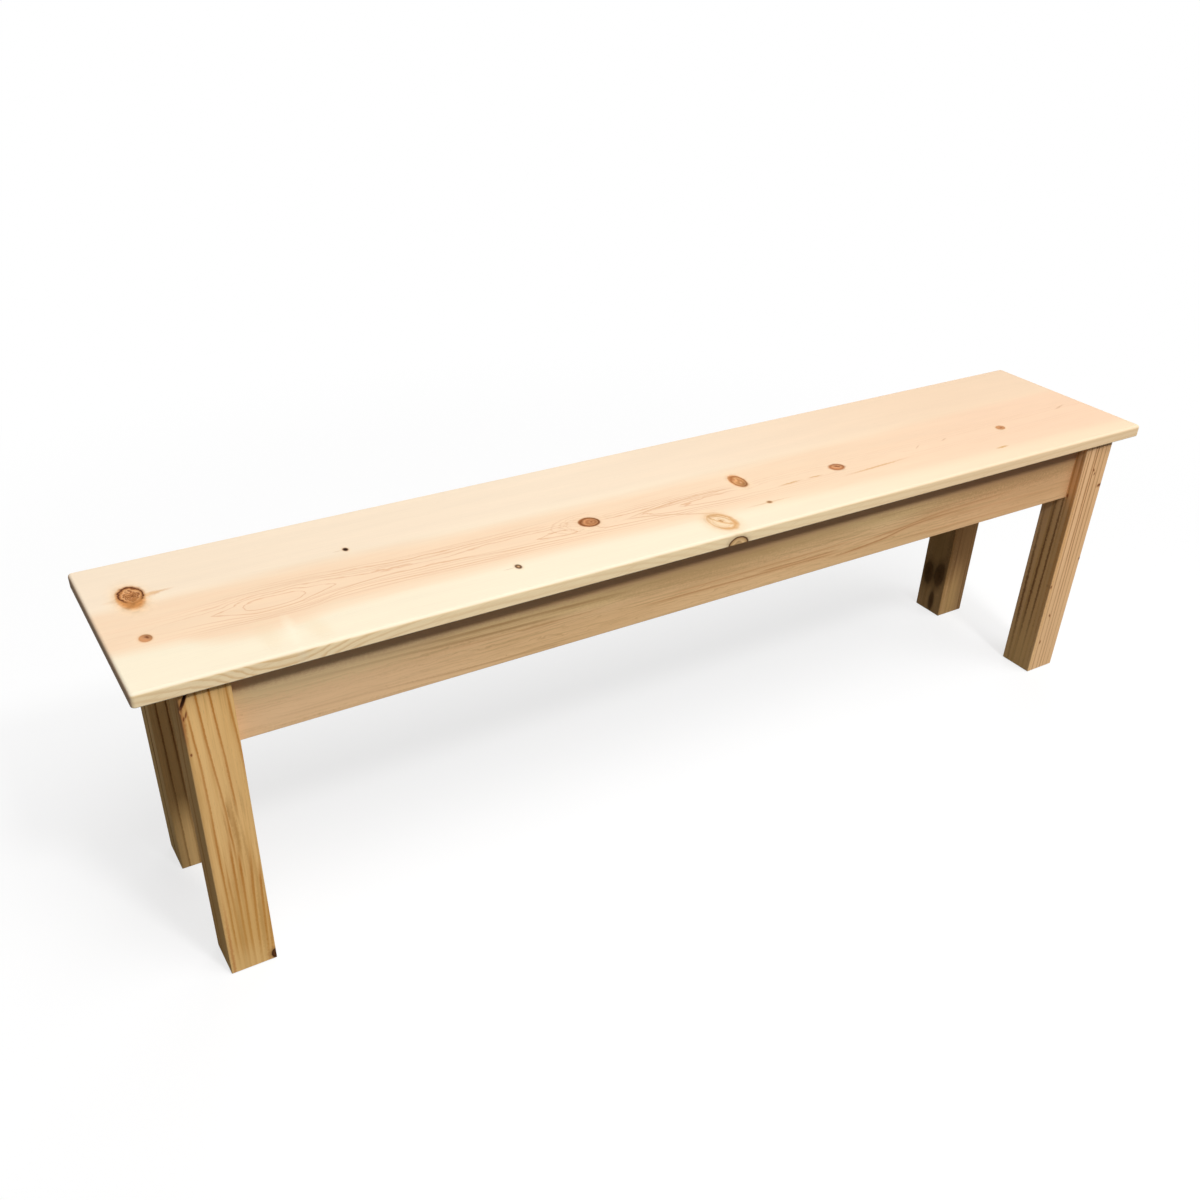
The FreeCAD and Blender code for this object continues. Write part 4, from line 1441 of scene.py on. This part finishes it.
    def _model(self) -> bpy.types.Object:
        """Model one screw on the Z axis."""
        low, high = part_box(self.nodes[0])
        screw = self._head(low.z)
        carve(screw, self._recess(low.z))
        parts = (self._core(low.z, high.z), self._thread(low.z, high.z))
        pick_only(screw)
        for part in parts:
            part.select_set(True)
        bpy.ops.object.join()
        with editing():
            bpy.ops.mesh.normals_make_consistent(inside=False)
        bpy.ops.object.shade_smooth_by_angle(angle=self.smooth_angle)
        return screw

    def build(self) -> None:
        """Set a screw at every place and let the set of each node stand for it."""
        material = self.finish.make("screw_zinc")
        model = self._model()
        for node, places in self._places().items():
            copies = []
            for x, y in places:
                screw = model.copy()
                screw.data = model.data.copy()
                screw.location = (x, y, 0.0)
                bpy.context.collection.objects.link(screw)
                copies.append(screw)
            pick_only(copies[0])
            for screw in copies[1:]:
                screw.select_set(True)
            bpy.ops.object.transform_apply(location=True, rotation=False, scale=False)
            bpy.ops.object.join()
            copies[0].name = f"{node}_cut"
            paint(copies[0], material)
            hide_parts(node)
            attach(copies[0], "root")
        bpy.data.objects.remove(model)


@dataclass(frozen=True)
class Lamp:
    """A soft lamp: where it shines from, how wide it looks, the level it gives, and its distance if near."""

    FAR: ClassVar[float] = 3.0

    name: str
    towards: tuple[float, float, float]
    spread: float
    level: float
    distance: float = 0.0
    aim: tuple[float, float, float] = (0.0, 0.0, 0.3)

    def hang(self) -> None:
        """Add the lamp to the scene: a far one as a sun, a near one as a round panel."""
        direction = Vector(self.towards).normalized()
        place = Vector(self.aim) + direction * (self.distance or self.FAR)
        lamp = added(bpy.ops.object.light_add, type="AREA" if self.distance else "SUN", location=place)
        lamp.name = self.name
        lamp.rotation_euler = direction.to_track_quat("Z", "Y").to_euler()
        if self.distance:
            lamp.data.shape = "DISK"
            lamp.data.size = 2 * self.distance * math.tan(math.radians(self.spread / 2))
            lamp.data.energy = self.level * (math.pi * self.distance) ** 2
        else:
            lamp.data.angle = math.radians(self.spread)
            lamp.data.energy = self.level * math.pi


@dataclass
class Studio:
    """Pale floor, soft light and the camera."""

    floor_size: float = 60.0
    floor_bounce: float = 0.12
    floor_white: float = 0.94
    shadow_share: float = 0.28
    shadow_fade: tuple[float, float] = (0.9, 1.9)
    ambient: float = 0.15
    lamps: tuple[Lamp, ...] = (
        Lamp("high_light", (0.18, -0.40, 0.90), 40.0, 0.62),
        Lamp("front_light", (0.03, -0.67, 0.74), 8.0, 0.47, 3.6),
        Lamp("back_light", (0.60, 0.75, 0.28), 50.0, 0.35),
    )
    camera_place: tuple[float, float, float] = (-0.89621, -1.20771, 1.10660)
    camera_right: tuple[float, float, float] = (0.855545, -0.517101, 0.025464)
    camera_up: tuple[float, float, float] = (0.271326, 0.489712, 0.828592)
    camera_back: tuple[float, float, float] = (-0.440936, -0.701989, 0.559274)
    lens: float = 36.195
    shift: tuple[float, float] = (0.0093, 0.0751)

    def _seen(self, graph: Graph) -> Wire:
        """1 for rays that show the background itself: from the camera, a gloss or glass."""
        path = graph.node("ShaderNodeLightPath")
        camera, glossy, through = (
            Wire(graph, path.outputs[name])
            for name in ("Is Camera Ray", "Is Glossy Ray", "Is Transmission Ray")
        )
        return graph.math("MAXIMUM", graph.math("MAXIMUM", camera, glossy), through)

    def build_floor(self) -> None:
        """Lay a floor that looks white, keeps the shadow and throws little light back."""
        floor = added(bpy.ops.mesh.primitive_plane_add, size=self.floor_size)
        floor.name = "studio_floor"
        material = bpy.data.materials.new("studio_floor_white")
        material.use_nodes = True
        graph = Graph(material.node_tree)
        white = (self.floor_white,) * 3
        glow = graph.wire("ShaderNodeEmission", None, {"Color": WHITE, "Strength": 1.0})
        lit = graph.wire("ShaderNodeBsdfDiffuse", None, {"Color": white})
        place = graph.wire("ShaderNodeTexCoord", output="Object")
        away = graph.wire("ShaderNodeVectorMath", {"operation": "LENGTH"}, {0: place}, "Value")
        share = (1 - graph.smooth(away, *self.shadow_fade)) * self.shadow_share
        shown = graph.wire("ShaderNodeMixShader", None, {0: share, 1: glow, 2: lit})
        dull = graph.wire("ShaderNodeBsdfDiffuse", None, {"Color": (self.floor_bounce,) * 3})
        above = graph.wire("ShaderNodeMixShader", None, {0: self._seen(graph), 1: dull, 2: shown})
        clear = graph.wire("ShaderNodeBsdfTransparent")
        below = graph.wire("ShaderNodeNewGeometry", output="Backfacing")
        surface = graph.wire("ShaderNodeMixShader", None, {0: below, 1: above, 2: clear})
        graph.node("ShaderNodeOutputMaterial", None, {"Surface": surface})
        floor.data.materials.append(material)

    def build_light(self) -> None:
        """Hang the lamps and set the light of the room."""
        for lamp in self.lamps:
            lamp.hang()
        world = bpy.data.worlds.new("studio_room")
        bpy.context.scene.world = world
        world.use_nodes = True
        graph = Graph(world.node_tree)
        room, white = (
            graph.wire("ShaderNodeBackground", None, {"Color": WHITE, "Strength": strength})
            for strength in (self.ambient, 1.0)
        )
        surface = graph.wire("ShaderNodeMixShader", None, {0: self._seen(graph), 1: room, 2: white})
        graph.node("ShaderNodeOutputWorld", None, {"Surface": surface})

    def build_camera(self) -> None:
        """Stand the camera where the photograph was taken."""
        camera = added(bpy.ops.object.camera_add)
        axes = Matrix((self.camera_right, self.camera_up, self.camera_back)).transposed()
        camera.matrix_world = Matrix.Translation(self.camera_place) @ axes.to_4x4()
        camera.data.lens = self.lens
        camera.data.shift_x, camera.data.shift_y = self.shift
        bpy.context.scene.camera = camera

    def build(self) -> None:
        """Set up everything round the bench."""
        self.build_floor()
        self.build_light()
        self.build_camera()
        bpy.context.scene.view_settings.view_transform = "Standard"


def main() -> None:
    """Build the studio and dress every piece of the bench."""
    logging.basicConfig(level=logging.INFO, format="%(name)s: %(message)s")
    Studio().build()
    for assembly in (Seat(), Legs(), Aprons(), InnerWood(), Screws()):
        assembly.build()


if __name__ == "__main__":
    main()
